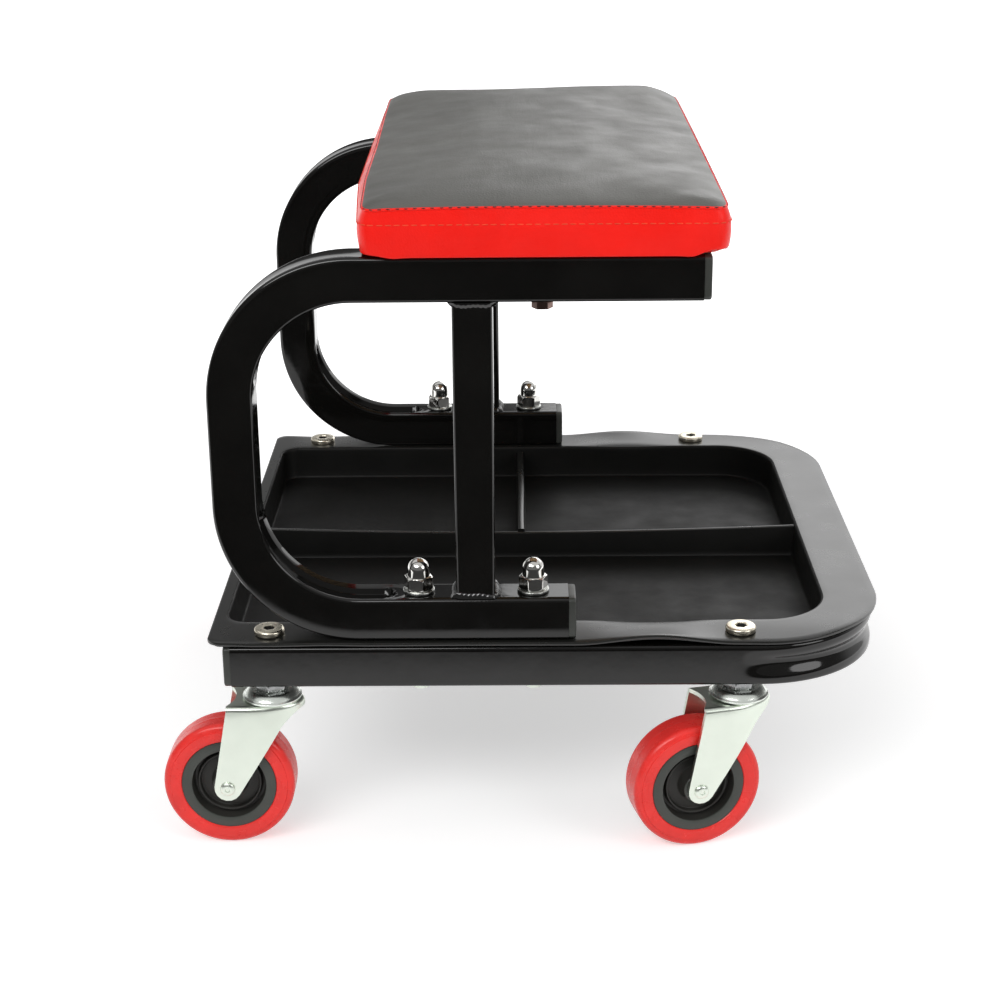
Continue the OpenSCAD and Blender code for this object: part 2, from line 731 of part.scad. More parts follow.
module axle() {
    color("#cfd4d3") on_axle() {
        cylinder(h = fork_w, r = axle_r, center = true);
        for (s = [-1, 1]) translate([0, 0, s * (fork_w + axle_head_h) / 2])
            cylinder(h = axle_head_h, r = axle_head_r, center = true);
    }
}

module sleeve() {
    color("#b8bcbb") on_axle() difference() {
        cylinder(h = fork_inner_w, r = sleeve_r, center = true);
        cylinder(h = fork_inner_w + 2 * over, r = axle_r + fit_gap, center = true);
    }
}

module hub() {
    bore_r = sleeve_r + run_gap;
    color("#33332f") on_axle() rotate_extrude() {
        translate([bore_r, -hub_w / 2]) square([hub_boss_r - bore_r, hub_w]);
        translate([hub_boss_r - over, -hub_web_t / 2])
            square([hub_recess_r - hub_boss_r + 2 * over, hub_web_t]);
        translate([hub_recess_r, -hub_rim_w / 2]) square([hub_d / 2 - hub_recess_r, hub_rim_w]);
    }
}

module tyre() {
    inner_r = hub_d / 2;
    color("#e23b34") on_axle() rotate_extrude($fn = 2 * $fn) {
        translate([inner_r, -tread_w / 2]) square([wheel_r - shoulder_r - inner_r, tread_w]);
        translate([inner_r, shoulder_r - tread_w / 2])
            square([wheel_r - inner_r, tread_w - 2 * shoulder_r]);
        for (s = [-1, 1]) translate([wheel_r - shoulder_r, s * (tread_w / 2 - shoulder_r)])
            circle(shoulder_r);
    }
}

base_tube();
base_end_caps();
tool_tray();
side_frame(-1);  // right_side_frame
side_frame(1);  // left_side_frame
post(-1);  // right_post
post(1);  // left_post
post_welds(-1);  // right_post_welds
post_welds(1);  // left_post_welds
arm_end_caps();
foot_end_caps();
frame_bolts();
cap_nut_washers();
cap_nuts();
socket_nuts();
seat_board();
seat_foam();
seat_top_cover();
seat_side_band();
seat_bolts();
seat_bolt_washers();
tee_nuts();
staples();
caster_stems();
stem_lock_nuts();
upper_races();
bearing_balls();
lower_races();
at_caster(rear_stem_x, -1, 0) fork();  // rear_right_fork
at_caster(rear_stem_x, -1, 0) axle();  // rear_right_axle
at_caster(rear_stem_x, -1, 0) sleeve();  // rear_right_sleeve
at_caster(rear_stem_x, -1, 0) hub();  // rear_right_hub
at_caster(rear_stem_x, -1, 0) tyre();  // rear_right_tyre
at_caster(rear_stem_x, 1, 0) fork();  // rear_left_fork
at_caster(rear_stem_x, 1, 0) axle();  // rear_left_axle
at_caster(rear_stem_x, 1, 0) sleeve();  // rear_left_sleeve
at_caster(rear_stem_x, 1, 0) hub();  // rear_left_hub
at_caster(rear_stem_x, 1, 0) tyre();  // rear_left_tyre
at_caster(front_stem_x, -1, front_yaw) fork();  // front_right_fork
at_caster(front_stem_x, -1, front_yaw) axle();  // front_right_axle
at_caster(front_stem_x, -1, front_yaw) sleeve();  // front_right_sleeve
at_caster(front_stem_x, -1, front_yaw) hub();  // front_right_hub
at_caster(front_stem_x, -1, front_yaw) tyre();  // front_right_tyre
at_caster(front_stem_x, 1, front_yaw) fork();  // front_left_fork
at_caster(front_stem_x, 1, front_yaw) axle();  // front_left_axle
at_caster(front_stem_x, 1, front_yaw) sleeve();  // front_left_sleeve
at_caster(front_stem_x, 1, front_yaw) hub();  // front_left_hub
at_caster(front_stem_x, 1, front_yaw) tyre();  // front_left_tyre
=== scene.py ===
import bpy
import bmesh
import math
import numpy as np
from mathutils import Matrix, Vector


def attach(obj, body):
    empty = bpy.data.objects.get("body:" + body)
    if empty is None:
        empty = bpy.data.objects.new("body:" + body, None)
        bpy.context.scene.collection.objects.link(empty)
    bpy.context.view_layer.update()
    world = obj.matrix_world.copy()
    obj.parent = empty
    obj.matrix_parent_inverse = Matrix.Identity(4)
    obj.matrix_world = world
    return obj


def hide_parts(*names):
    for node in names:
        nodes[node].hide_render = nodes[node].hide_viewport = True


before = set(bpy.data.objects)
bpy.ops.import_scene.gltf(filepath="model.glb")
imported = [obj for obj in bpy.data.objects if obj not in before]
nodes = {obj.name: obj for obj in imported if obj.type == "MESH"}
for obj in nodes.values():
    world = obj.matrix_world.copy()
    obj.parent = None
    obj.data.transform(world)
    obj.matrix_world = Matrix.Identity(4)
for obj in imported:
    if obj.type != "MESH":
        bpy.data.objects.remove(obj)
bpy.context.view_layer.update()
scene = bpy.context.scene
pi = math.pi

# Sizes in millimetres, as in the part's source; x is measured from the backs of the side frames
X_MID = 171.2
HALF, TUBE_R, TUBE_WALL, TUBE_Y = 12.5, 2.4, 1.5, 172.5
FOOT_LEN, ARM_LEN = 196.5, 267.5
FRAME_H, BEND_R = 220.0, 80.0
MID_R, INNER_R = BEND_R - HALF, BEND_R - 2 * HALF
ARC = INNER_R * pi / 2
POST_X, POST_W = 144.5, 22.0
BASE_REAR, BASE_FRONT, BASE_BEND = 5.0, 378.0, 72.0
BASE_MID_R, BASE_ARC = BASE_BEND - HALF, 94.2
RACE_Z, LOCK_NUT_Z, BASE_Z, RIM_Z, FOOT_Z = 90.3, 95.3, 100.3, 125.3, 129.3
FOOT_TOP, ARM_Z, ARM_TOP = 154.3, 324.3, 349.3
BOARD_Z, FOAM_Z, SEAM_Z = 350.3, 362.3, 375.0
FLOOR_Z = 107.3
WELL_X1, WELL_HALF = 347.5, 156.5
# Outlines of the tray: rear end, front end, half width, rear and front corner radius
RIM, WELL = (-8.0, 380.5, 186.5, 8.0, 73.5), (0.0, WELL_X1, WELL_HALF, 12.0, 37.9)
STEMS = [(26.5, -1), (26.5, 1), (294.5, -1), (294.5, 1)]
BOLTS = [(x, s) for s in (-1, 1) for x in (112.25, 176.75)]
FORK_TOP, AXLE_DROP, TRAIL, STEM_HOLE_R = 89.6, 51.5, 26.5, 5.1
WHEEL = (-TRAIL, 0, FORK_TOP - AXLE_DROP)
SEAT_W, SEAT_L, SEAT_X, SEAT_R = 193.0, 378.0, 182.0, 9.0
# Marks for a bend that is out of reach, and for a ring of a profile that is a hexagon
FAR, HEX = 900.0, 99.0


def to_row(points):
    a = np.array(points, float).reshape(-1, 3)
    a[:, 0] -= X_MID
    return a / 1000.0


def smooth(a, b, x):
    t = np.clip((np.asarray(x, float) - a) / (b - a), 0.0, 1.0)
    return t * t * (3 - 2 * t)


def lump(x, centre, half):
    t = np.clip(np.abs(np.asarray(x, float) - centre) / half, 0.0, 1.0)
    return 0.5 * (1 + np.cos(pi * t))


def waves(points, seed, scale, octaves=3):
    """Smooth repeatable noise from sums of sines, about -1 to 1."""
    p = np.asarray(points, float)
    rng = np.random.default_rng(seed)
    total = np.zeros(len(p))
    weight = 0.0
    for k in range(octaves):
        for _ in range(5):
            d = rng.normal(size=3)
            d /= np.linalg.norm(d)
            angle = p @ d * (2 * pi / scale) * 2 ** k * rng.uniform(0.7, 1.3) + rng.uniform(0, 7)
            total += np.sin(angle) / 2 ** k
        weight += 2.2 / 2 ** k
    return total / weight


def new_object(name, data):
    ob = bpy.data.objects.new(name, data)
    scene.collection.objects.link(ob)
    return ob


def new_mesh(name, points, faces):
    """Mesh from points in millimetres, as in the part's source."""
    mesh = bpy.data.meshes.new(name)
    mesh.from_pydata([tuple(p) for p in to_row(points)], [], faces)
    return mesh


def mesh_points(mesh):
    co = np.zeros(len(mesh.vertices) * 3)
    mesh.vertices.foreach_get("co", co)
    return co.reshape(-1, 3)


def tuned(target, **values):
    for key, value in values.items():
        setattr(target, key, value)


class Shape:
    """Gathers rings of points into one mesh, in millimetres."""

    def __init__(self):
        self.points = []
        self.faces = []
        self.marks = []

    def add(self, points, faces, mark=0):
        n = len(self.points)
        self.points.extend(tuple(float(c) for c in p) for p in points)
        self.faces.extend(tuple(n + i for i in f) for f in faces)
        self.marks.extend([mark] * len(faces))

    def rings(self, rings, ends=True, around=False, mark=0):
        n = len(rings[0])
        m = len(rings)
        faces = []
        for j in range(m if around else m - 1):
            a, b = j * n, (j + 1) % m * n
            faces += [(a + i, a + (i + 1) % n, b + (i + 1) % n, b + i) for i in range(n)]
        if ends and not around:
            faces.append(tuple(range(n - 1, -1, -1)))
            faces.append(tuple((m - 1) * n + i for i in range(n)))
        self.add([p for r in rings for p in r], faces, mark)

    def moved(self, fn):
        p = np.array(self.points)
        self.points = [tuple(q) for q in fn(p)]
        return self

    def piece(self, name, body, slot, mats, replaced=(), angle=38):
        mesh = new_mesh(name, self.points, self.faces)
        for m in mats if isinstance(mats, (list, tuple)) else [mats]:
            mesh.materials.append(m)
        mesh.polygons.foreach_set("material_index", self.marks)
        bm = bmesh.new()
        bm.from_mesh(mesh)
        bmesh.ops.remove_doubles(bm, verts=bm.verts, dist=2e-6)
        bmesh.ops.recalc_face_normals(bm, faces=bm.faces)
        bm.to_mesh(mesh)
        bm.free()
        mesh.shade_smooth()
        mesh.set_sharp_from_angle(angle=math.radians(angle))
        ob = new_object(name, mesh)
        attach(ob, body)
        if replaced:
            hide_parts(*replaced)
        return ob


def square_loop(half, r, flat, side_flat, corner):
    """Round-cornered square as (a, b) points: first the wall on +a, then +b, -a and -b."""
    k = half - r
    out = []
    for w in range(4):
        n = flat if w % 2 == 0 else side_flat
        c, s = [(1, 0), (0, 1), (-1, 0), (0, -1)][w]
        pts = [(half, -k + 2 * k * i / n) for i in range(n + 1)]
        pts += [(k + r * math.cos(q), k + r * math.sin(q))
                for q in (pi / 2 * i / corner for i in range(1, corner))]
        out += [(c * x - s * y, s * x + c * y) for x, y in pts]
    return np.array(out)


def hexagon(apothem, t, turn):
    """Radii of a turned hexagon at the angles t."""
    return apothem / np.cos((t + turn + pi / 6) % (pi / 3) - pi / 6)


def lathe(shape, profile, n, centre, across=False, radii=None, around=True):
    """Turns (r, h) points about z, or about y if across. Where r is HEX, radii(angles, h) gives it."""
    t = np.arange(n) * 2 * pi / n
    rings = []
    for r, h in profile:
        rr = radii(t, h) if r == HEX else np.full(n, max(r, 0.01))
        x, y, z = rr * np.cos(t), rr * np.sin(t), np.full(n, h)
        rings.append(np.stack([x, z, -y] if across else [x, y, z], 1) + np.array(centre))
    shape.rings(rings, around=around)


def arc(cx, cy, r, a0, a1, n):
    return [(cx + r * math.cos(t), cy + r * math.sin(t)) for t in np.radians(np.linspace(a0, a1, n + 1))]


def at_height(loop, z):
    return np.column_stack([loop, np.full(len(loop), z)])


def lengths(line):
    """Distance along a line of points, at each of them."""
    return np.concatenate([[0], np.cumsum(np.linalg.norm(np.diff(line, axis=0), axis=1))])


# Node trees
def join(tree, value, socket):
    """Links an output to the socket, or sets the socket to a plain value."""
    if isinstance(value, bpy.types.NodeSocket):
        tree.links.new(value, socket)
    else:
        socket.default_value = value


def node(tree, kind, **inputs):
    """Adds a node with its inputs set or linked; _ stands for a space in their names."""
    n = tree.nodes.new("ShaderNode" + kind)
    for name, value in inputs.items():
        join(tree, value, n.inputs[name.replace("_", " ")])
    return n


def fed(tree, kind, *values):
    """Adds a node with its inputs set or linked in their own order."""
    n = node(tree, kind)
    for value, socket in zip(values, n.inputs):
        join(tree, value, socket)
    return n


def node_math(tree, op, a, b):
    n = fed(tree, "Math", a, b)
    n.operation = op
    return n.outputs[0]


def spread(tree, value, lo, hi, out_lo, out_hi, curve="LINEAR"):
    n = node(tree, "MapRange", Value=value, From_Min=lo, From_Max=hi, To_Min=out_lo, To_Max=out_hi)
    n.interpolation_type = curve
    return n.outputs["Result"]


def eased(tree, *values):
    return spread(tree, *values, "SMOOTHSTEP")


# Materials
def new_material(name, colour, rough, metal=0.0, spec=0.5):
    m = bpy.data.materials.new(name)
    m.use_nodes = True
    m.diffuse_color = (*colour, 1)
    for key, value in (("Base Color", (*colour, 1)), ("Roughness", rough), ("Metallic", metal),
                       ("Specular IOR Level", spec)):
        plug(m, value, key)
    return m


def plug(m, value, socket):
    join(m.node_tree, value, m.node_tree.nodes["Principled BSDF"].inputs[socket])


def coords(m, scale=(1, 1, 1), rotation=(0, 0, 0)):
    place = node(m.node_tree, "TexCoord").outputs["Object"]
    return node(m.node_tree, "Mapping", Vector=place, Scale=scale, Rotation=rotation).outputs["Vector"]


def noise(m, vector, scale, detail=4.0, rough=0.55, distortion=0.0):
    return node(m.node_tree, "TexNoise", Vector=vector, Scale=scale, Detail=detail, Roughness=rough,
                Distortion=distortion).outputs["Fac"]


def cells(m, vector, scale):
    return node(m.node_tree, "TexVoronoi", Vector=vector, Scale=scale).outputs["Distance"]


def ramp(m, value, stops):
    n = node(m.node_tree, "ValToRGB", Fac=value)
    e = n.color_ramp.elements
    while len(e) < len(stops):
        e.new(0.5)
    for el, (pos, col) in zip(e, stops):
        el.position = pos
        el.color = (*col, 1)
    return n.outputs["Color"]


def bump(m, heights):
    """Chains bumps given as (height, distance in metres, strength)."""
    last = {}
    for height, distance, strength in heights:
        n = node(m.node_tree, "Bump", Height=height, Distance=distance, Strength=strength, **last)
        last = {"Normal": n.outputs["Normal"]}
    plug(m, last["Normal"], "Normal")


def varied(m, colour, vector, scale, low, high, detail=4.0):
    """Lets the colour drift between low and high times itself."""
    stops = [(at, tuple(min(1.0, v * k) for v in colour)) for at, k in ((0.32, low), (0.68, high))]
    plug(m, ramp(m, noise(m, vector, scale, detail), stops), "Base Color")


def uneven(m, vector, scale, low, high, detail=5):
    """Lets the roughness drift between low and high."""
    plug(m, spread(m.node_tree, noise(m, vector, scale, detail), 0.3, 0.7, low, high), "Roughness")


def painted(name, colour, rough=0.07, spec=0.5):
    m = new_material(name, colour, rough, spec=spec)
    v = coords(m)
    varied(m, colour, v, 22, 0.75, 1.35)
    uneven(m, v, 60, rough - 0.03, rough + 0.05)
    bump(m, [(noise(m, v, 260, 2), 0.0002, 0.035), (noise(m, v, 90, 2), 0.0008, 0.05)])
    return m


def plastic(name, colour, rough, spec=0.5, grain=1500, depth=0.18, drift=0.15, wave=0.06, vary=1.0):
    m = new_material(name, colour, rough, spec=spec)
    v = coords(m)
    varied(m, colour, v, 30, 1 - drift, 1 + drift)
    uneven(m, v, 45, rough - 0.05 * vary, rough + 0.07 * vary)
    bump(m, [(cells(m, v, grain), 0.0001, depth), (noise(m, v, 160, 3), 0.0005, wave)])
    return m


def plated(name, colour, rough, scale=500, strength=0.1, patch=0.12, wave=0.05, vary=1.0):
    m = new_material(name, colour, rough, metal=1.0)
    v = coords(m)
    varied(m, colour, v, 70, 1 - patch, 1 + patch, 6)
    uneven(m, v, scale * 0.4, rough * (1 - 0.3 * vary), rough * (1 + 0.45 * vary), 4)
    bump(m, [(noise(m, v, scale, 4), 0.0002, strength), (noise(m, v, 130, 2), 0.0005, wave)])
    return m


def vinyl(name, colour, rough, spec):
    m = new_material(name, colour, rough, spec=spec)
    v = coords(m)
    varied(m, colour, v, 16, 0.88, 1.12, 6)
    uneven(m, v, 40, rough - 0.06, rough + 0.08)
    creases = noise(m, coords(m, (3.2, 0.55, 1)), 26, 3, 0.6, 0.4)
    bump(m, [(cells(m, v, 900), 0.00022, 0.35), (noise(m, v, 1700, 2), 0.0001, 0.25),
             (creases, 0.0022, 0.10)])
    return m


def thread(name, colour, rough, low, high):
    m = new_material(name, colour, rough)
    v = coords(m, (1, 1, 1), (0.6, 0.3, 0.2))
    varied(m, colour, v, 260, low, high)
    bump(m, [(noise(m, v, 2600, 2), 0.0002, 0.5)])
    return m


paint = painted("paint_gloss_black", (0.0038, 0.0036, 0.0032))
weld_paint = painted("paint_over_weld", (0.004, 0.0039, 0.0036), 0.06, 0.8)
cap_plastic = plastic("plastic_end_cap", (0.040, 0.043, 0.038), 0.38, 0.5)
tray_black = plastic("plastic_tray", (0.0100, 0.0100, 0.0088), 0.28, 0.72, 1100, 0.05, 0.06, 0.008, 0.3)
# The well's plastic is rougher and textured; its colour, darker than the rim's, is painted shade
textured_well_shade = plastic("plastic_tray_textured_painted_shade", (0.0032, 0.0032, 0.0027), 0.52, 0.26, 1100, 0.20)
hub_black = plastic("plastic_hub", (0.046, 0.051, 0.044), 0.42, 0.5, 1300, 0.2)
# Darker copy of the hub plastic for its recess and groove: painted shade
hub_shade = plastic("plastic_hub_painted_shade", (0.026, 0.025, 0.022), 0.50, 0.4, 1300, 0.2)
zinc = plated("zinc_plate", (0.76, 0.82, 0.73), 0.30, 420, 0.03, 0.02, 0.006, 0.25)
race_zinc = plated("zinc_race", (0.76, 0.80, 0.75), 0.24, 420, 0.03, 0.03, 0.01, 0.4)
zinc_dark = plated("zinc_dull", (0.42, 0.44, 0.43), 0.36, 420, 0.14, 0.2)
chrome = plated("chrome", (0.74, 0.73, 0.70), 0.09, 260, 0.03, 0.04)
washer_zinc = plated("zinc_washer", (0.46, 0.47, 0.45), 0.26, 420, 0.10, 0.12)
aged_zinc = plated("zinc_aged", (0.16, 0.10, 0.085), 0.38, 420, 0.14, 0.3)
nickel = plated("nickel_warm", (0.86, 0.80, 0.66), 0.28, 300, 0.06, 0.08)
bearing = plated("bearing_steel", (0.70, 0.71, 0.71), 0.12, 300, 0.03, 0.05)
dark_steel = plated("lock_nut_steel", (0.36, 0.365, 0.37), 0.24, 380, 0.12, 0.22)
# Its base colour is lighter than black vinyl's: a painted sheen standing in for the grey reflections on the
# seat's top
black_vinyl = vinyl("vinyl_black", (0.090, 0.088, 0.078), 0.45, 0.95)
red_vinyl = vinyl("vinyl_red", (0.99, 0.007, 0.0015), 0.33, 0.35)
thread_red = thread("thread_red", (0.90, 0.060, 0.015), 0.55, 0.8, 1.15)
thread_black = thread("thread_black", (0.014, 0.013, 0.012), 0.6, 0.7, 1.3)

# Near-black for the inside of the socket nuts: painted shade in their recesses
SOCKET_SHADE = (0.012, 0.011, 0.010)
socket_shade = new_material("socket_painted_shade", SOCKET_SHADE, 0.6)
varied(socket_shade, SOCKET_SHADE, coords(socket_shade), 300, 0.6, 1.5)

TYRE = (0.86, 0.036, 0.030)
tyre_red = new_material("tyre_red", TYRE, 0.26, spec=0.4)
v = coords(tyre_red)
varied(tyre_red, TYRE, v, 48, 0.88, 1.10, 6)
uneven(tyre_red, v, 80, 0.20, 0.34)
bump(tyre_red, [(noise(tyre_red, v, 900, 3), 0.0002, 0.12), (noise(tyre_red, v, 120, 2), 0.0006, 0.06)])

plywood = new_material("plywood", (0.55, 0.37, 0.2), 0.62)
grain = noise(plywood, coords(plywood, (6, 1, 1)), 34, 8, 0.6, 0.6)
layers = noise(plywood, coords(plywood, (0.5, 0.5, 400)), 1.4, 1)
wood_stops = [(0.30, (0.36, 0.21, 0.10)), (0.48, (0.56, 0.37, 0.19)), (0.70, (0.68, 0.49, 0.29))]
plug(plywood, ramp(plywood, grain, wood_stops), "Base Color")
bump(plywood, [(grain, 0.0005, 0.25), (layers, 0.0006, 0.25)])

FOAM = (0.78, 0.70, 0.45)
foam = new_material("foam_open_cell", FOAM, 0.9)
v = coords(foam)
varied(foam, FOAM, v, 60, 0.85, 1.1)
bump(foam, [(cells(foam, v, 800), 0.0006, 0.5)])

keep = {
    "right_post": paint, "left_post": paint, "frame_bolts": zinc, "seat_foam": foam,
    "seat_bolts": aged_zinc, "seat_bolt_washers": aged_zinc,
    "tee_nuts": zinc_dark, "staples": zinc, "caster_stems": zinc_dark, "bearing_balls": bearing,
    "lower_races": zinc_dark, "seat_top_cover": black_vinyl, "seat_side_band": red_vinyl,
}
CORNERS = ("rear_right", "rear_left", "front_right", "front_left")
for corner in CORNERS:
    keep[corner + "_sleeve"] = zinc_dark


# Bent square tube: rows are (centre, inner direction, side direction, bend coordinates)
def tube_sweep(shape, rows, dent_in, dent_out):
    loop = square_loop(HALF, TUBE_R, 20, 4, 4)
    inner = square_loop(HALF - TUBE_WALL, TUBE_R - TUBE_WALL, 20, 4, 4)
    on_wall = np.abs(loop[:, 1]) < HALF - TUBE_R + 0.2
    on_in = (loop[:, 0] > HALF - 0.05) & on_wall
    on_out = (loop[:, 0] < -HALF + 0.05) & on_wall
    rings = []
    for c, a_dir, b_dir, s in rows:
        a = loop[:, 0].copy()
        b = loop[:, 1]
        a[on_in] -= dent_in(s, b[on_in])
        a[on_out] += dent_out(s, b[on_out])
        rings.append(np.array(c) + np.outer(a, a_dir) + np.outer(b, b_dir))
    # the bore is narrower between the ends, clear of the dents
    bore = [(1.0, rows[0])] + [(0.72, r) for r in rows[8:-8:6]] + [(1.0, rows[-1])]
    inside = [np.array(c) + np.outer(inner[:, 0] * share, a_dir) + np.outer(inner[:, 1], b_dir)
              for share, (c, a_dir, b_dir, s) in bore]
    shape.rings(rings + inside[::-1], around=True)


def span(a, b, step):
    n = max(1, int(round(abs(b - a) / step)))
    return [a + (b - a) * i / n for i in range(n + 1)]


def bend(start, end, step):
    """Angle, sine and cosine at even steps in degrees, without the first."""
    angles = [math.radians(q) for q in span(start, end, step)[1:]]
    return [(t, math.sin(t), math.cos(t)) for t in angles]


def groove(sigma, b, start, end, half_w, depth, soft):
    lo, hi = start + half_w, end - half_w
    along = max(lo - sigma, sigma - hi, 0.0)
    dist = np.sqrt(along ** 2 + b ** 2)
    return depth * (1 - smooth(half_w - soft, half_w + soft * 0.55, dist))


def side_frame(side):
    y = side * TUBE_Y
    low, high = FOOT_Z + BEND_R, FOOT_Z + FRAME_H - BEND_R
    straight_x = 112
    rows = []

    def row(x, z, ax, az, s_low, s_high):
        rows.append(((x, y, z), (ax, 0, az), (0, 1, 0), (s_low, s_high)))

    for x in span(FOOT_LEN, straight_x, 5)[:-1] + span(straight_x, BEND_R, 1.0):
        row(x, FOOT_Z + HALF, 0, 1, BEND_R - x, FAR)
    for t, sin, cos in bend(0, 90, 1.15):
        row(BEND_R - MID_R * sin, low - MID_R * cos, sin, cos, INNER_R * t, FAR)
    for z in span(low, high, 5)[1:]:
        row(HALF, z, 1, 0, ARC + z - low, ARC + high - z)
    for t, sin, cos in bend(90, 0, 1.15):
        row(BEND_R - MID_R * sin, high + MID_R * cos, sin, -cos, FAR, INNER_R * t)
    for x in span(BEND_R, straight_x, 1.0)[1:] + span(straight_x, ARM_LEN, 5)[1:]:
        row(x, ARM_Z + HALF, 0, -1, FAR, BEND_R - x)

    def dent_in(s, b):
        out = np.zeros(len(b))
        for sigma, end in ((s[0], 79.0), (s[1], 74.0)):
            if sigma < FAR:
                out += groove(sigma, b, -19, end, 6.8, 3.8, 1.1)
                out += groove(sigma, b, -27, end + 4, 10.4, 0.9, 3.0)
        return out

    def dent_out(s, b):
        w = 0.0
        for sigma in s:
            if sigma < FAR:
                w = max(w, float(smooth(-16, 6, sigma) * (1 - smooth(ARC - 6, ARC + 16, sigma))))
        return 1.1 * w * np.clip(1 - (b / 10.2) ** 2, 0, 1) ** 0.8

    sh = Shape()
    tube_sweep(sh, rows, dent_in, dent_out)
    word = "right" if side < 0 else "left"
    sh.piece(word + "_bent_side_tube", "root", "black_tube", paint, (word + "_side_frame",), 30)


for side in (-1, 1):
    side_frame(side)


def base_tube():
    cx, cy = BASE_FRONT - BASE_BEND, TUBE_Y + HALF - BASE_BEND
    dense_x, dense_y = 285, cy - 24
    rows = []

    def row(x, y, ax, ay, s):
        rows.append(((x, y, BASE_Z + HALF), (ax, ay, 0), (0, 0, 1), s))

    for x in span(BASE_REAR, dense_x, 7)[:-1] + span(dense_x, cx, 1.4):
        row(x, -TUBE_Y, 0, 1, (x - cx, FAR))
    for t, sin, cos in bend(0, 90, 1.5):
        row(cx + BASE_MID_R * sin, -cy - BASE_MID_R * cos, -sin, cos, (60 * t, FAR))
    for y in span(-cy, -dense_y, 1.4)[1:] + span(-dense_y, dense_y, 7)[1:] + span(dense_y, cy, 1.4)[1:]:
        row(BASE_FRONT - HALF, y, -1, 0, (BASE_ARC + y + cy, BASE_ARC + cy - y))
    for t, sin, cos in bend(90, 0, 1.5):
        row(cx + BASE_MID_R * sin, cy + BASE_MID_R * cos, -sin, -cos, (FAR, 60 * t))
    for x in span(cx, dense_x, 1.4)[1:] + span(dense_x, BASE_REAR, 7)[1:]:
        row(x, TUBE_Y, 0, -1, (FAR, x - cx))

    def dent_out(s, b):
        out = np.zeros(len(b))
        for sigma in s:
            if sigma < FAR:
                bent = smooth(-12, 8, sigma) * (1 - smooth(BASE_ARC - 8, BASE_ARC + 12, sigma))
                out += 3.0 * bent * lump(b, 0.3, 8.2)
        return out

    def dent_in(s, b):
        out = np.zeros(len(b))
        for sigma in s:
            if sigma < FAR:
                out += groove(sigma * 0.78, b, -15, 88, 6.5, 2.6, 1.5)
        return out

    sh = Shape()
    tube_sweep(sh, rows, dent_in, dent_out)
    sh.piece("bent_base_tube", "root", "black_tube", paint, ("base_tube",), 30)


base_tube()


# Moulded plugs in the tube ends; rings are (place along the tube, half width, corner radius)
PLUG_RINGS = [(-12.0, 10.2, 0.9), (0.15, 10.2, 0.9), (0.1, 12.05, 2.3), (3.2, 12.1, 2.4), (3.75, 11.95, 2.4),
              (4.1, 11.6, 2.4), (4.28, 11.0, 2.4), (4.34, 10.0, 2.2), (4.3, 4.0, 1.0)]

for name, x, z, direction, replaced in (("arm_caps_moulded", ARM_LEN, ARM_Z + HALF, 1, "arm_end_caps"),
                                        ("foot_caps_moulded", FOOT_LEN, FOOT_Z + HALF, 1, "foot_end_caps"),
                                        ("base_caps_moulded", BASE_REAR, BASE_Z + HALF, -1, "base_end_caps")):
    sh = Shape()
    for side in (-1, 1):
        rings = []
        for along, half, r in PLUG_RINGS:
            loop = square_loop(half, r, 4, 4, 4) + (side * TUBE_Y, z)
            rings.append(np.column_stack([np.full(len(loop), x + direction * along), loop]))
        sh.rings(rings)
    sh.piece(name, "root", "black_cap", cap_plastic, (replaced,), 40)


# Weld beads round both ends of each post
def weld_bead(shape, y, z, up, seed):
    half = POST_W / 2
    path = square_loop(half, TUBE_R, 44, 44, 6)
    normal = np.where(np.abs(path) > half - 0.3, np.sign(path), 0.0)
    corner = (np.abs(path) > half - TUBE_R - 0.01).all(axis=1)
    c = np.sign(path) * (half - TUBE_R)
    normal[corner] = ((path - c) / TUBE_R)[corner]
    normal /= np.linalg.norm(normal, axis=1)[:, None]
    step = np.linalg.norm(np.roll(path, -1, 0) - path, axis=1)
    s = np.concatenate([[0], np.cumsum(step)[:-1]])
    ripple = 0.5 * np.abs(np.sin(pi * s / 2.6 + 0.8 * np.sin(s / 9.0)))
    ripple = ripple + 0.35 * np.sin(s / 5.3 + seed) + 0.25 * np.sin(s / 2.1 + 2 * seed)
    leg = 2.5 + ripple * 1.1
    room = np.where(np.abs(normal[:, 1]) > 0.5, 1.4, 3.4)
    out_leg = np.minimum(leg, room)
    rings = []
    for a in np.linspace(0, pi / 2, 7):
        bulge = 1 - 0.16 * math.sin(2 * a)
        off = out_leg * math.cos(a) * bulge
        h = leg * math.sin(a) * bulge
        off = np.minimum(off, room + 0.05)
        rings.append(np.column_stack([(POST_X, y) + path + normal * off[:, None], z + up * h]))
    for height in (z + up * leg, z):
        rings.append(np.column_stack([(POST_X, y) + path * 0.98, np.broadcast_to(height, len(path))]))
    shape.rings(rings, around=True)


for side, word in ((-1, "right"), (1, "left")):
    sh = Shape()
    weld_bead(sh, side * TUBE_Y, FOOT_TOP, 1, 3 + side)
    weld_bead(sh, side * TUBE_Y, ARM_Z, -1, 8 + side)
    sh.piece(word + "_weld_beads", "root", "black_tube", weld_paint, (word + "_post_welds",), 60)


# Tool tray: rim, rolled edges, well and dividers
def outline(x0, x1, half, r0, r1):
    """Loop from the rear right corner forwards; the same number of points for every size."""
    turns = [(x1 - r1, r1 - half, r1, -90), (x1 - r1, half - r1, r1, 0), (x0 + r0, half - r0, r0, 90),
             (x0 + r0, r0 - half, r0, 180)]
    bends = [arc(cx, cy, r, q, q + 90, 18) for cx, cy, r, q in turns]
    pts = []
    for k, steps in enumerate((90, 60, 90, 60)):
        a, b = np.array(bends[k - 1][-1]), np.array(bends[k][0])
        pts += [tuple(a + (b - a) * i / steps) for i in range(steps)] + bends[k][:-1]
    return np.array(pts)


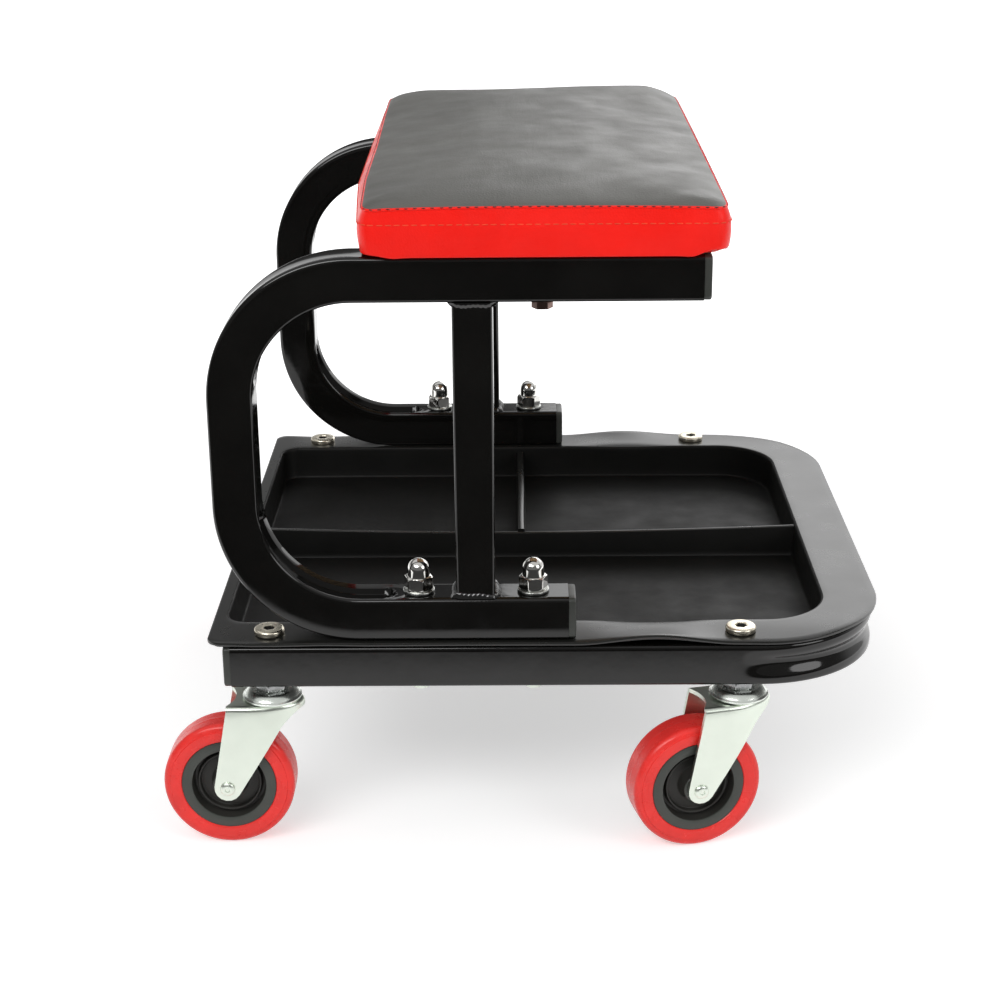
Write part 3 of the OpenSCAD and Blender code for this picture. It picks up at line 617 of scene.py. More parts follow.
def tray():
    sh = Shape()

    def rim(grow, z, form=RIM):
        x0, x1, half, r0, r1 = form
        return at_height(outline(x0 - grow, x1 + grow, half + grow, max(r0 + grow, 3), r1 + grow), z)

    def well(shrink, z):
        return rim(-shrink, z, WELL)

    top, roll = FOOT_Z, 1.4
    a, b = rim(-0.8, top), well(-1.3, top)
    loops = [rim(-3.2, RIM_Z), rim(-3.0, RIM_Z + 1.5), rim(-0.5, RIM_Z + 1.75), rim(-0.1, RIM_Z + 2.0),
             rim(0, RIM_Z + 2.4), rim(0, top - 0.65), rim(-0.2, top - 0.2)]
    loops += [a] + [a + (b - a) * t for t in (0.12, 0.3, 0.5, 0.7, 0.88)] + [b]
    rim_rows = len(loops) - 1
    for t in np.radians((20, 40, 60, 80)):
        loops.append(well(-1.3 + roll * math.sin(t), top - roll * (1 - math.cos(t))))
    loops += [well(0.2, top - 2.4), well(0.3, top - 6), well(0.8, FLOOR_Z + 6), well(1.1, FLOOR_Z + 1.5)]
    for t in np.radians((20, 45, 70)):
        loops.append(well(1.15 + roll * (1 - math.cos(t)), FLOOR_Z + roll * (1 - math.sin(t))))
    loops += [well(2.6, FLOOR_Z), well(6, FLOOR_Z)]
    under = [well(6, FLOOR_Z - 2), well(3.0, FLOOR_Z - 2), well(0.6, FLOOR_Z - 1.4),
             well(-0.5, FLOOR_Z + 0.6), well(-1.2, FLOOR_Z + 8), well(-1.7, RIM_Z - 1),
             well(-1.9, RIM_Z - 0.05)]
    c, d = well(-2.1, RIM_Z), rim(-3.6, RIM_Z)
    under += [c + (d - c) * t for t in (0.0, 0.3, 0.6, 0.9, 1.0)]
    sh.rings(loops, ends=False)
    n = len(loops[0])
    k = (len(loops) - 1) * n
    sh.faces.append(tuple(k + i for i in range(n)))
    # the well's faces take the darker well material: painted shade
    sh.marks[rim_rows * n:] = [1] * (len(sh.marks) - rim_rows * n)
    sh.marks.append(1)
    base = len(sh.points)
    sh.rings(under, ends=False)
    sh.faces.append(tuple(base + i for i in range(n)))
    last = base + (len(under) - 1) * n
    for i in range(n):
        sh.faces.append((last + i, last + (i + 1) % n, (i + 1) % n, i))
    sh.marks.extend([0] * (n + 1))

    def warp(p):
        x, y, z = p[:, 0], np.abs(p[:, 1]), p[:, 2]
        high = smooth(RIM_Z - 3, RIM_Z, z)
        outer = np.clip((y - 163) / 23.5, 0, 1.05) ** 1.4
        inner = np.clip((160.5 - y) / 3.5, 0, 1) * smooth(150, 156, y)
        size = np.where(p[:, 1] < 0, 1.0, 0.7)
        outside = high * smooth(RIM_Z + 0.6, RIM_Z + 1.9, z)
        p[:, 2] += high * size * (4.2 * lump(x, 246, 46) * outer - 1.6 * lump(x, 246, 42) * inner)
        p[:, 2] -= outside * 1.3 * outer * smooth(-2, 20, x) * (0.6 + 0.4 * smooth(280, 330, x))
        p[:, 2] += high * 0.5 * outer * lump(x, 58, 30)
        p[:, 2] += high * 0.35 * np.sin(x / 37.0 + 1.2) * smooth(350, 378, x)
        sway = 0.25 * np.sin(x / 29.0) * smooth(20, 60, x) * (1 - smooth(300, 330, x))
        p[:, 1] += np.sign(p[:, 1]) * sway * smooth(150, 156, y)
        return p

    sh.moved(warp)

    def divider(a, b, thick, sag, top_z):
        a, b = np.array(a, float), np.array(b, float)
        d = (b - a) / np.linalg.norm(b - a)
        side = np.array([-d[1], d[0]])
        rings = []
        steps = span(0, float(np.linalg.norm(b - a)), 4)
        for s in steps:
            t = s / steps[-1]
            h = top_z - FLOOR_Z + sag * (1 - 4 * t * (1 - t)) - sag * 0.5
            w = thick / 2
            bow = 0.15 * math.sin(t * 9)
            prof = [(w + 1.5, -0.6), (w + 0.9, 0.25), (w + 0.5, 1.0), (w + 0.4, 3.0), (w, h - 0.9),
                    (w - 0.15, h - 0.35), (w - 0.6, h), (0, h + 0.05)]
            prof += [(-u, v) for u, v in prof[-2::-1]]
            u, v = np.array(prof).T
            rings.append(np.column_stack([(a + d * s) + np.outer(u + bow * v / h, side), FLOOR_Z + v]))
        # the divider's sides take the darker well material, painted shade, and its top faces the rim's
        first = len(sh.marks)
        sh.rings(rings, mark=1)
        for row in range(len(rings) - 1):
            for i in (5, 6, 7, 8):
                sh.marks[first + row * len(prof) + i] = 0

    divider((-0.6, 0), (WELL_X1 + 0.4, 0), 3.0, 3.6, 125.6)
    divider((170.5, 0.3), (170.5, WELL_HALF + 0.3), 4.2, 1.0, 125.2)
    sh.piece("moulded_tray", "root", "tray_plastic", [tray_black, textured_well_shade], ("tool_tray",), 42)


tray()


# Fasteners
def turned(name, slot, mat, replaced, places, profile, steps, angle, turns=None, hex_form=(), around=True):
    """One piece of equal lathed solids; hex_form is (size across flats, top, bottom, slope of the cones)."""
    sh = Shape()
    for i, (x, s) in enumerate(places):
        def radii(t, h):
            af, top, bottom, slope = hex_form
            cone = af / 2 * 0.985 + min(top - h, h - bottom) / slope
            return np.minimum(hexagon(af / 2, t, turns[i]), max(cone, 0.1))

        lathe(sh, profile, steps, (x, s * TUBE_Y, 0), radii=radii, around=around)
    sh.piece(name, "root", slot, mat, (replaced,), angle)


nut_z = FOOT_TOP + 2.0
turned("plated_washers", "zinc_steel", washer_zinc, "cap_nut_washers", BOLTS,
       [(4.1, FOOT_TOP), (8.5, FOOT_TOP), (9.0, FOOT_TOP + 0.5), (9.0, nut_z - 0.5), (8.85, nut_z - 0.15),
        (8.5, nut_z), (4.1, nut_z)], 48, 50)

hex_top = nut_z + 7.56
dome_r, dome_z = 6.24, nut_z + 18 - 6.24
prof = [(4.1, nut_z)] + [(HEX, nut_z + h) for h in (0, 0.25, 0.5, 0.9)]
prof += [(HEX, z) for z in np.linspace(nut_z + 1.5, hex_top - 1.0, 8)]
prof += [(HEX, hex_top - 0.5), (HEX, hex_top - 0.25), (HEX, hex_top), (6.75, hex_top + 0.03)]
prof += [(6.3, hex_top + 0.25), (dome_r, hex_top + 0.6), (dome_r, dome_z)]
prof += [(dome_r * math.cos(q), dome_z + dome_r * math.sin(q)) for q in np.linspace(0.12, pi / 2 - 0.03, 14)]
prof += [(0.02, dome_z + dome_r)]
turned("acorn_nuts", "chrome", chrome, "cap_nuts", BOLTS, prof, 96, 28, (0.75, 0.35, 0.1, 0.55),
       (14.5, hex_top, nut_z, 0.55), around=False)


def socket_nut(shape, x, y, turn):
    z0, h, r = FOOT_Z, 3.3, 8.65
    n = 48
    t = np.arange(n) * 2 * pi / n
    socket = ((z0 + 0.45, 0.1), (z0 + 0.4, 1.0), (z0 + h - 0.5, 1.0), (z0 + h - 0.1, 1.07))
    rings = [(hexagon(3.0, t, turn) * k, z) for z, k in socket]
    rings += [(3.9, z0 + h), (r - 1.1, z0 + h), (r - 0.75, z0 + h - 0.1), (r - 0.12, z0 + h - 0.7),
              (r, z0 + h - 1.05), (r, z0 + 0.3), (r - 0.25, z0), (6.5, z0), (6.5, z0 - 14), (5.2, z0 - 14),
              (5.2, z0 - 1.2), (0.1, z0 - 1.2)]
    first = len(shape.marks)
    shape.rings([np.column_stack([x + rr * np.cos(t), y + rr * np.sin(t), np.full(n, z)]) for rr, z in rings])
    # the socket's walls and floor take a near-black material: painted shade in the recess
    shape.marks[first:first + 2 * n] = [1] * (2 * n)
    shape.marks[first + n * (len(rings) - 1)] = 1


sh = Shape()
for (x, s), turn in zip(STEMS, (0.2, 0.5, 0.75, 0.1)):
    socket_nut(sh, x, s * TUBE_Y, turn)
sh.piece("round_socket_nuts", "root", "nickel", [nickel, socket_shade], ("socket_nuts",), 40)

z, top = LOCK_NUT_Z, LOCK_NUT_Z + 5
prof = [(STEM_HOLE_R, z)] + [(HEX, z + h) for h in (0, 0.3, 0.7, 1.2, 2.5, 3.8, 4.3, 4.7, 5)]
turned("stem_hex_nuts", "zinc_steel", dark_steel, "stem_lock_nuts", STEMS, prof + [(STEM_HOLE_R, top)],
       96, 28, (0.1, 0.5, 0.3, 0.8), (17, top, z, 0.6))

z = RACE_Z
prof = [(STEM_HOLE_R, z), (9.2, z), (9.2, z + 3.1), (12.8, z + 3.1), (12.8, z), (16.6, z), (17.0, z + 0.35),
        (17.0, z + 1.1), (16.75, z + 1.4)]
prof += [(16.2 - 4.6 * q, z + 1.65 + 3.35 * math.sin(q * pi / 2) ** 0.9) for q in np.linspace(0, 1, 12)]
prof.append((STEM_HOLE_R, z + 5.0))
turned("pressed_upper_races", "zinc_steel", race_zinc, "upper_races", STEMS, prof, 64, 32)


# Casters, modelled about the stem with the wheel trailing to -x
def at_corner(stem, side, yaw):
    q = math.radians(-side * yaw)
    c, s = math.cos(q), math.sin(q)

    def f(p):
        x, y = p[:, 0].copy(), p[:, 1].copy()
        p[:, 0] = stem + c * x - s * y
        p[:, 1] = side * TUBE_Y + s * x + c * y
        return p
    return f


def fork_mesh():
    """Points and faces of the sheet's outer side, with the stem's axis at x = y = 0."""
    half, nose, flat_x, rear = 16.3, 18.6, -12.0, -25.2
    eye, fold, folds, steps = 7.7, 2.8, 6, 12
    # plan loop: right side rear to nose to left side rear, then the rear edge
    side_pts = [(rear + (flat_x - rear) * i / steps, -half) for i in range(steps)]
    nose_pts = [(flat_x + (nose - flat_x) * math.sin(t), -half * math.cos(t)) for t in np.linspace(0, pi, 57)]
    run = np.array(side_pts + nose_pts + [(x, -y) for x, y in side_pts[::-1]])
    m = len(run)
    tang = np.gradient(run, axis=0)
    tang /= np.linalg.norm(tang, axis=1)[:, None]
    inward = np.stack([-tang[:, 1], tang[:, 0]], 1)
    inward[:steps + 1] = (0, 1)
    inward[-steps - 1:] = (0, -1)
    across = 1 - 2 * np.arange(1, 16) / 16
    back = np.column_stack([rear + 4.2 * (1 - across ** 2), (half - fold) * across])
    # wall bottom for each point of the run: round the axle's eye, up to the knee, then the nose's skirt
    c = np.array([-TRAIL, -AXLE_DROP])

    def touch(p, sign):
        d = c - np.array(p)
        l = np.linalg.norm(d)
        a = math.atan2(d[1], d[0]) + sign * math.asin(eye / l)
        return np.array(p) + math.sqrt(l * l - eye * eye) * np.array([math.cos(a), math.sin(a)])

    knee = np.array([6.0, -13.5])
    p_rear, p_front = touch((rear, 0), -1), touch(knee, 1)
    a0, a1 = (math.degrees(math.atan2(p[1] - c[1], p[0] - c[0])) for p in (p_rear, p_front))
    if a1 < a0:
        a1 += 360
    slope = (knee[1] - p_front[1]) / (knee[0] - p_front[0])

    def edge(x):
        if x <= knee[0]:
            return p_front[1] + slope * (x - p_front[0])
        t = (x - knee[0]) / (nose - knee[0])
        return knee[1] + (-4.4 - knee[1]) * (1 - (1 - t) ** 1.6)

    line = [(x, edge(x)) for x in np.linspace(p_front[0], flat_x, 8)[1:]]
    bound = np.array(arc(c[0], c[1], eye, a0, a1, 24) + line)
    seg = lengths(bound)
    want = np.linspace(0, seg[-1], steps + 1)
    bx, bz = np.interp(want, seg, bound[:, 0]), np.interp(want, seg, bound[:, 1])
    low = []
    for i, (x, y) in enumerate(run):
        j = min(i, m - 1 - i)
        low.append((bx[j], y, bz[j]) if j <= steps else (x, y, edge(x)))
    start = at_height(run, -fold)
    walls = [start + (np.array(low) - start) * t for t in np.linspace(0, 1, 12)[1:]]
    # top: rings from the fold to the stem hole
    full = np.vstack([run, back])
    nrm = np.vstack([inward, np.zeros((len(back), 2))])
    n = len(full)
    rings = []
    for q in np.linspace(0, pi / 2, folds + 1):
        z = np.full(n, -fold * (1 - math.sin(q)))
        z[m:] = 0.0
        rings.append(np.column_stack([full + nrm * fold * (1 - math.cos(q)), z]))
    inner = rings[-1][:, :2]
    hole = STEM_HOLE_R * inner / np.linalg.norm(inner, axis=1)[:, None]
    rings = np.array(rings + [at_height(inner + (hole - inner) * t, 0) for t in np.linspace(0, 1, 15)[1:]])
    rings[:, :, 2] += 0.4 * (1 - smooth(12.9, 15.0, np.hypot(rings[:, :, 0], rings[:, :, 1])))
    base = len(rings) * n
    faces = [(j * n + i, j * n + (i + 1) % n, (j + 1) * n + (i + 1) % n, (j + 1) * n + i)
             for j in range(len(rings) - 1) for i in range(n if j >= folds else m - 1)]
    faces += [(i, base + i, base + i + 1, i + 1) for i in range(m - 1)]
    faces += [(k + i, k + m + i, k + m + i + 1, k + i + 1)
              for k in range(base, base + (len(walls) - 1) * m, m) for i in range(m - 1)]
    pts = np.vstack([rings.reshape(-1, 3), np.array(walls).reshape(-1, 3)])
    pts[:, 2] += FORK_TOP
    return pts, faces


FORK = fork_mesh()


def wheel_shapes():
    hub, tyre = Shape(), Shape()
    steps = 72
    side = [(5.06, 12.9), (7.0, 12.9), (8.4, 12.6), (9.0, 12.0), (9.3, 9.5), (10.2, 5.4), (10.8, 4.4),
            (11.6, 4.0), (16.4, 3.6), (16.9, 3.9), (17.2, 6.4), (17.5, 6.8), (18.2, 6.8), (18.5, 6.4),
            (18.8, 3.8), (19.3, 3.5), (20.6, 3.6), (21.0, 4.2), (21.4, 10.2), (21.6, 10.75), (22.1, 11.0),
            (24.2, 11.05), (26.8, 11.0), (27.3, 10.8), (27.5, 10.4)]
    full = side + [(r, -h) for r, h in side[::-1]]
    lathe(hub, full, steps, WHEEL, across=True)
    # faces between radius 9 and 21.5 take the darker copy: painted shade in the recess
    for j in range(len(full) - 1):
        if 9.0 < (full[j][0] + full[j + 1][0]) / 2 < 21.5:
            hub.marks[j * steps:(j + 1) * steps] = [1] * steps
    t = [(27.5, 10.7), (27.9, 11.2), (28.6, 11.45), (30.2, 11.5), (33.4, 11.5), (33.9, 11.42), (34.1, 11.0),
         (34.35, 10.9)]
    t += [(34.1 + 3.9 * math.sin(q), 7.4 + 3.7 * math.cos(q)) for q in np.linspace(0.30, pi / 2 - 0.12, 9)]
    t += [(37.98, 6.5), (38.01, 4.5), (38.04, 2.0), (38.04, 0.25), (38.09, 0.0)]
    lathe(tyre, t + [(r, -h) for r, h in t[-2::-1]], 120, WHEEL, across=True)
    return hub, tyre


def axle_shape():
    s = Shape()
    half = [(3.0, 0.0), (3.0, 16.3), (4.2, 16.35), (4.28, 16.6), (4.2, 17.05), (3.7, 17.6), (2.9, 17.95),
            (2.1, 18.1), (1.5, 18.05), (1.2, 17.5), (0.05, 17.4)]
    lathe(s, [(r, -h) for r, h in half[::-1]] + half[1:], 40, WHEEL, across=True, around=False)
    return s


for name, (stem, side), yaw in zip(CORNERS, STEMS, (0, 0, 14, 14)):
    place = at_corner(stem, side, yaw)
    swivel, wheel = name + "_swivel", name + "_wheel"
    sh = Shape()
    sh.add(*FORK)
    ob = sh.moved(place).piece(name + "_pressed_fork", swivel, "zinc_steel", zinc, (name + "_fork",), 40)
    tuned(ob.modifiers.new("sheet", "SOLIDIFY"), thickness=0.0025, offset=-1, use_even_offset=False)
    tuned(ob.modifiers.new("edges", "BEVEL"), width=0.0005, segments=2, limit_method="ANGLE",
          angle_limit=math.radians(50), harden_normals=True)
    axle_shape().moved(place).piece(name + "_riveted_axle", swivel, "zinc_steel", zinc, (name + "_axle",), 40)
    hub, tyre = wheel_shapes()
    hub_mats = [hub_black, hub_shade]
    hub.moved(place).piece(name + "_moulded_hub", wheel, "hub_plastic", hub_mats, (name + "_hub",), 30)
    tyre.moved(place).piece(name + "_red_tyre", wheel, "red_tyre", tyre_red, (name + "_tyre",), 30)


# Cushion: a vinyl top panel sewn to a red band, over foam, the hem turned under the board
NX, NY = 48, 94
# Height and width of the pad's edge roll and of its crown
ROLL_H, ROLL_W, CROWN_H, CROWN_W = 3.2, 10.0, 2.2, 92.0
# Rings of the band: the one with the top stitch, and the first that is held
STITCH_RING, HELD_RING = 3, 8
# How much of the board's underside is drawn in, and how far, in metres
BOARD_REACH, BOARD_EASE = 0.011, 0.0065


def rounded_side_points(inset, draw):
    """The seat's outline as 2 * (NX + NY) points from the middle of the front right corner."""
    a, b = SEAT_W / 2 - inset, SEAT_L / 2 - inset
    r = max(SEAT_R - inset, 3.0)
    turns = ((a - r, r - b, -90), (a - r, b - r, 0), (r - a, b - r, 90), (r - a, r - b, 180))
    dense = [arc(cx, cy, r, q0, q0 + 90, 16) for cx, cy, q0 in turns]
    loop = []
    for k in range(4):
        half1, half2 = dense[k][8:], dense[(k + 1) % 4][:9]
        n = NY if k % 2 == 0 else NX
        p, q = np.array(half1[-1]), np.array(half2[0])
        line = np.array(half1[:-1] + [tuple(p + (q - p) * t) for t in np.linspace(0, 1, 200)] + half2[1:])
        seg = lengths(line)
        w = np.linspace(0, seg[-1], n + 1)[:-1]
        x, y = np.interp(w, seg, line[:, 0]), np.interp(w, seg, line[:, 1])
        t = w / seg[-1]
        d = (q - p) / np.linalg.norm(q - p)
        inward = np.array([-d[1], d[0]])
        pull = draw * 4 * t * (1 - t)
        loop.append(np.column_stack([x + inward[0] * pull, y + inward[1] * pull]))
    return np.vstack(loop)


def coons(loop):
    """Fills a closed loop of 2 * (NX + NY) points with a grid of (NY + 1) by (NX + 1)."""
    # t runs from the right side to the left, s from the rear (x low) to the front (x high)
    x1 = loop[:NY + 1]
    high = loop[NY:NY + NX + 1][::-1]
    x0 = loop[NY + NX:2 * NY + NX + 1][::-1]
    low = np.vstack([loop[2 * NY + NX:], loop[:1]])
    s = np.linspace(0, 1, NX + 1)[None, :, None]
    t = np.linspace(0, 1, NY + 1)[:, None, None]
    a = (1 - t) * low + t * high
    b = (1 - s) * x0[:, None] + s * x1[:, None]
    c = (1 - s) * (1 - t) * low[0] + s * (1 - t) * low[-1] + (1 - s) * t * high[0] + s * t * high[-1]
    return a + b - c


def cushion():
    seam_z = SEAM_Z + 0.7
    loop = rounded_side_points(0.0, 1.6)
    grid = coons(loop)
    x, y = grid[:, :, 0], grid[:, :, 1]
    ex = SEAT_W / 2 - np.abs(x)
    ey = SEAT_L / 2 - np.abs(y)
    e = np.maximum(np.minimum(ex, ey), 0)
    near_corner = (ex < SEAT_R * 2) & (ey < SEAT_R * 2)
    cut = SEAT_R * 2 - np.hypot(SEAT_R * 2 - ex, SEAT_R * 2 - ey) * 0.9
    e = np.maximum(np.where(near_corner, np.minimum(e, cut), e), 0)
    rise = ROLL_H * (1 - np.clip(1 - e / ROLL_W, 0, 1) ** 2.2)
    rise += CROWN_H * (1 - np.clip(1 - e / CROWN_W, 0, 1) ** 2.0)
    far = smooth(70, 165, y) * smooth(0, 16, ey) * smooth(0, 24, ex)
    z = seam_z + rise + far * (3.0 + 2.2 * smooth(-60, 60, x))
    n_top = (NX + 1) * (NY + 1)
    pts = [(SEAT_X + x[j, i], y[j, i], z[j, i]) for j in range(NY + 1) for i in range(NX + 1)]
    at = np.arange(n_top).reshape(NY + 1, NX + 1).tolist()
    faces = [(at[j][i], at[j][i + 1], at[j + 1][i + 1], at[j + 1][i]) for j in range(NY) for i in range(NX)]
    marks = [0] * len(faces)
    ring = [row[-1] for row in at[:NY]] + at[NY][:0:-1] + [row[0] for row in at[:0:-1]] + at[0][:NX]
    n = len(ring)
    # corner closeness along the loop, for the hem's relief
    near = np.hypot(SEAT_W / 2 - np.abs(loop[:, 0]), SEAT_L / 2 - np.abs(loop[:, 1]))
    lift = np.where(loop[:, 0] > 0, 3.2 * (1 - smooth(10, 17, near)), 1.4 * (1 - smooth(7, 14, near)))
    lift -= 0.8 * lump(near, 19, 4)
    prev = ring
    hem = ARM_TOP + 0.25
    # rings below the seam: (inset, draw, height, share of the lift)
    bands = [(-0.15, 1.55, seam_z - 0.9, 0), (-0.15, 1.3, seam_z - 2.6, 0), (-0.2, 1.1, seam_z - 4.6, 0),
             (-0.5, 0.8, seam_z - 8, 0), (-0.75, 0.5, 363.5, 0), (-0.7, 0.3, 359.5, 0.1),
             (-0.45, 0.1, 356.0, 0.4), (-0.2, 0.0, 353.3, 0.7), (0.0, 0.0, 351.2, 0.95),
             (0.25, 0, hem + 0.35, 1), (0.9, 0, hem - 0.05, 1), (3.0, 0, hem - 0.2, 0.8),
             (6.0, 0, hem - 0.2, 0.3), (9.0, 0, hem - 0.1, 0), (9.0, 0, BOARD_Z, 0), (1.3, 0, BOARD_Z, 0),
             (1.3, 0, FOAM_Z, 0), (30, 0, FOAM_Z, 0)]
    for inset, draw, height, share in bands:
        lp = rounded_side_points(inset, draw)
        here = list(range(len(pts), len(pts) + n))
        pts += [(SEAT_X + lp[k, 0], lp[k, 1], height + lift[k] * share) for k in range(n)]
        faces += [(prev[k], here[k], here[(k + 1) % n], prev[(k + 1) % n]) for k in range(n)]
        prev = here
    faces.append(tuple(prev))
    marks += [1] * (len(faces) - len(marks))
    pts = np.array(pts)
    # the band swells out between the seam and the hem, most at the rear end
    dx, dy = pts[:, 0] - SEAT_X, pts[:, 1]
    run = (dy + SEAT_L / 2) / SEAT_L
    drawn = 1.6 * 4 * np.clip(run * (1 - run), 0, 1)
    at_seam = smooth(366, 375, pts[:, 2])
    below = 1 - smooth(368, 375.5, pts[:, 2])
    swell = smooth(350, 364, pts[:, 2]) * below
    rear = 1 - smooth(0, 32, dx + SEAT_W / 2)
    front = 1 - smooth(0, 32, SEAT_W / 2 - dx)
    seam_out = np.interp(dy, [-191, -177, -111, -7, 117, 164, 189], [-2.0, -1.6, 0.7, 1.0, 3.0, 3.4, 3.2])
    band_out = np.interp(dy, [-189, -142, -80, 27, 154, 189], [0, 2.9, 6.4, 6.6, 6.2, 4.0])
    pts[:, 0] -= rear * (at_seam * (seam_out + drawn) + swell * (band_out + 0.5 * drawn))
    pts[:, 0] += front * (at_seam * (0.2 + drawn) + below * 2.2 + swell * 0.5 * drawn)
    # the seam draws the far front corner in
    gap = np.hypot(SEAT_W / 2 - dx, SEAT_L / 2 - dy)
    pull = 0.6 * smooth(352, 375, pts[:, 2]) * (1 - smooth(3, 24, gap))
    pts[:, 0] -= pull * 0.7
    pts[:, 1] -= pull * 0.7
    return pts, faces, marks, ring, n_top, n


pts, faces, marks, seam_ring, n_top, n_loop = cushion()


def puff(pts, faces):
    """Lets the covered pad swell with a cloth simulation, and returns the moved points."""
    ob = new_object("puff_work", new_mesh("puff_mesh", pts, faces))
    bpy.context.view_layer.objects.active = ob
    pin = ob.vertex_groups.new(name="pin")
    held = n_top + HELD_RING * n_loop
    frames, limit = 20, 3.5
    for members, weight in ((range(held, len(pts)), 1.0), (range(n_top, held), 0.55), (seam_ring, 0.8)):
        pin.add(list(members), weight, "REPLACE")
    mod = ob.modifiers.new("cloth", "CLOTH")
    tuned(mod.settings, quality=6, mass=0.25, tension_stiffness=28, compression_stiffness=28,
          shear_stiffness=12, bending_stiffness=2.5, use_pressure=True, uniform_pressure_force=3.2,
          vertex_group_mass="pin", pin_stiffness=6.0)
    mod.settings.effector_weights.gravity = 0.0
    mod.collision_settings.use_collision = False
    tuned(mod.point_cache, frame_start=1, frame_end=frames)
    for f in range(1, frames + 1):
        scene.frame_set(f)
    deps = bpy.context.evaluated_depsgraph_get()
    co = mesh_points(ob.evaluated_get(deps).to_mesh()) * 1000.0
    co[:, 0] += X_MID
    ob.evaluated_get(deps).to_mesh_clear()
    scene.frame_set(1)
    bpy.data.objects.remove(ob)
    move = co - pts
    size = np.linalg.norm(move, axis=1)
    k = np.where(size > limit, limit / np.maximum(size, 1e-9), 1.0)
    return pts + move * k[:, None]


pts = puff(pts, faces)

# faint creases, mostly along the seat, and puckers at the seam
x, y = pts[:n_top, 0], pts[:n_top, 1]
edge = np.minimum(SEAT_W / 2 - np.abs(x - SEAT_X), SEAT_L / 2 - np.abs(y))
soft = smooth(2, 14, edge)
crease = 0.10 * waves(np.column_stack([x, y * 0.28, 0 * x]), 11, 26)
crease += 0.16 * waves(np.column_stack([x, y, 0 * x]), 5, 85)
pts[:n_top, 2] += crease * soft
sh = Shape()
sh.points = [tuple(p) for p in pts]
sh.faces = faces
sh.marks = marks
ob = sh.piece("seat_cushion", "root", "black_vinyl", [black_vinyl, red_vinyl],
              ("seat_foam", "seat_top_cover", "seat_side_band"), 62)
tuned(ob.modifiers.new("fine", "SUBSURF"), levels=1, render_levels=1)

# The board: the edges of its underside are eased, so that the hem turns under it
mesh = nodes["seat_board"].data.copy()
co = mesh_points(mesh)
low = co[:, 2] < BOARD_Z / 1000 + 1e-4
seat_cx, seat_half_w, seat_half_l = (SEAT_X - X_MID) / 1000, SEAT_W / 2000, SEAT_L / 2000
for k, mid, half in ((0, seat_cx, seat_half_w), (1, 0.0, seat_half_l)):
    by_side = np.abs(co[:, 0] - seat_cx) > seat_half_w - BOARD_REACH
    by_end = np.abs(co[:, 1]) > seat_half_l - BOARD_REACH
    outer = low & (by_side | by_end)
    co[outer, k] = mid + (co[outer, k] - mid) * (1 - BOARD_EASE / half)
mesh.vertices.foreach_set("co", co.ravel())
mesh.materials.clear()
mesh.materials.append(plywood)
ob = new_object("eased_seat_board", mesh)
ob.matrix_world = nodes["seat_board"].matrix_world
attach(ob, "root")
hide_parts("seat_board")

# Seam welt and stitches
loop = pts[seam_ring]


def resample(loop, step):
    d = np.vstack([loop, loop[:1]])
    seg = lengths(d)
    n = int(round(seg[-1] / step))
    w = np.linspace(0, seg[-1], n + 1)[:-1]
    return np.column_stack([np.interp(w, seg, d[:, k]) for k in range(3)]), w, seg[-1]


def loop_frames(p):
    t = np.roll(p, -1, 0) - np.roll(p, 1, 0)
    t[:, 2] = 0
    t /= np.linalg.norm(t, axis=1)[:, None]
    out = np.column_stack([t[:, 1], -t[:, 0], np.zeros(len(p))])
    return t, out


STITCH_PITCH = 4.6
UP = np.array([0.0, 0.0, 1.0])
p, w, total = resample(loop, 0.75)
pitch = total / round(total / STITCH_PITCH)
t, out = loop_frames(p)
welt_r = 0.40 + 0.26 * np.abs(np.sin(pi * w / pitch))[:, None]
centre = p + out * 0.15 - 0.75 * UP
rings = [centre + welt_r * (out * math.cos(q) + 1.05 * UP * math.sin(q))
         for q in np.linspace(0, 2 * pi, 9)[:-1]]
sh = Shape()
sh.rings(rings, around=True)
sh.piece("band_welt", "root", "red_vinyl", red_vinyl, (), 70)


def stitches(name, loop, drop, outwards, mat, slot, length, radius, phase=0.0):
    step = 0.5
    p, w, total = resample(loop, step)
    t, out = loop_frames(p)
    n = int(round(total / STITCH_PITCH))
    sh = Shape()
    for k in range(n):
        i = int(round((k + 0.5 + phase) * total / n / step)) % len(p)
        c = p[i] + drop * UP + out[i] * outwards
        rings = []
        for along, fat in ((-0.5, 0.15), (-0.42, 0.75), (-0.2, 1.0), (0.2, 1.0), (0.42, 0.75), (0.5, 0.15)):
            middle = c + t[i] * length * along + out[i] * 0.12 * (fat - 1)
            rings.append(np.array([middle + radius * fat * (out[i] * math.cos(q) + UP * math.sin(q))
                                   for q in np.linspace(0, 2 * pi, 7)[:-1]]))
        sh.rings(rings)
    sh.piece(name, "root", slot, mat, (), 70)


top_loop = pts[n_top + STITCH_RING * n_loop:][:n_loop]
stitches("band_topstitch", top_loop, -0.4, 0.1, thread_red, "red_vinyl", 3.4, 0.34)
stitches("seam_thread", loop, -0.35, 0.45, thread_black, "black_vinyl", 2.2, 0.30, 0.5)

for name, ob in nodes.items():
    ob.data.materials.clear()
    ob.data.materials.append(keep.get(name, paint))

# Camera: the photograph's own view
cam = bpy.data.cameras.new("camera")
tuned(cam, sensor_width=36.0, sensor_height=36.0, sensor_fit="HORIZONTAL", lens=72.47, clip_end=100)
pitch, yaw, roll = map(math.radians, (20.056, -0.517, -0.52))
ahead = Vector((math.sin(yaw) * math.cos(pitch), math.cos(yaw) * math.cos(pitch), -math.sin(pitch)))
level = Vector((math.cos(yaw), -math.sin(yaw), 0))
upright = level.cross(ahead)
right = math.cos(roll) * level + math.sin(roll) * upright
up = -math.sin(roll) * level + math.cos(roll) * upright
cam_ob = new_object("camera", cam)
place = Matrix((right, up, -ahead)).transposed().to_4x4()
place.translation = Vector((-0.0033, -1.222, 0.5919))
cam_ob.matrix_world = place
scene.camera = cam_ob
scene.view_settings.view_transform = "Standard"

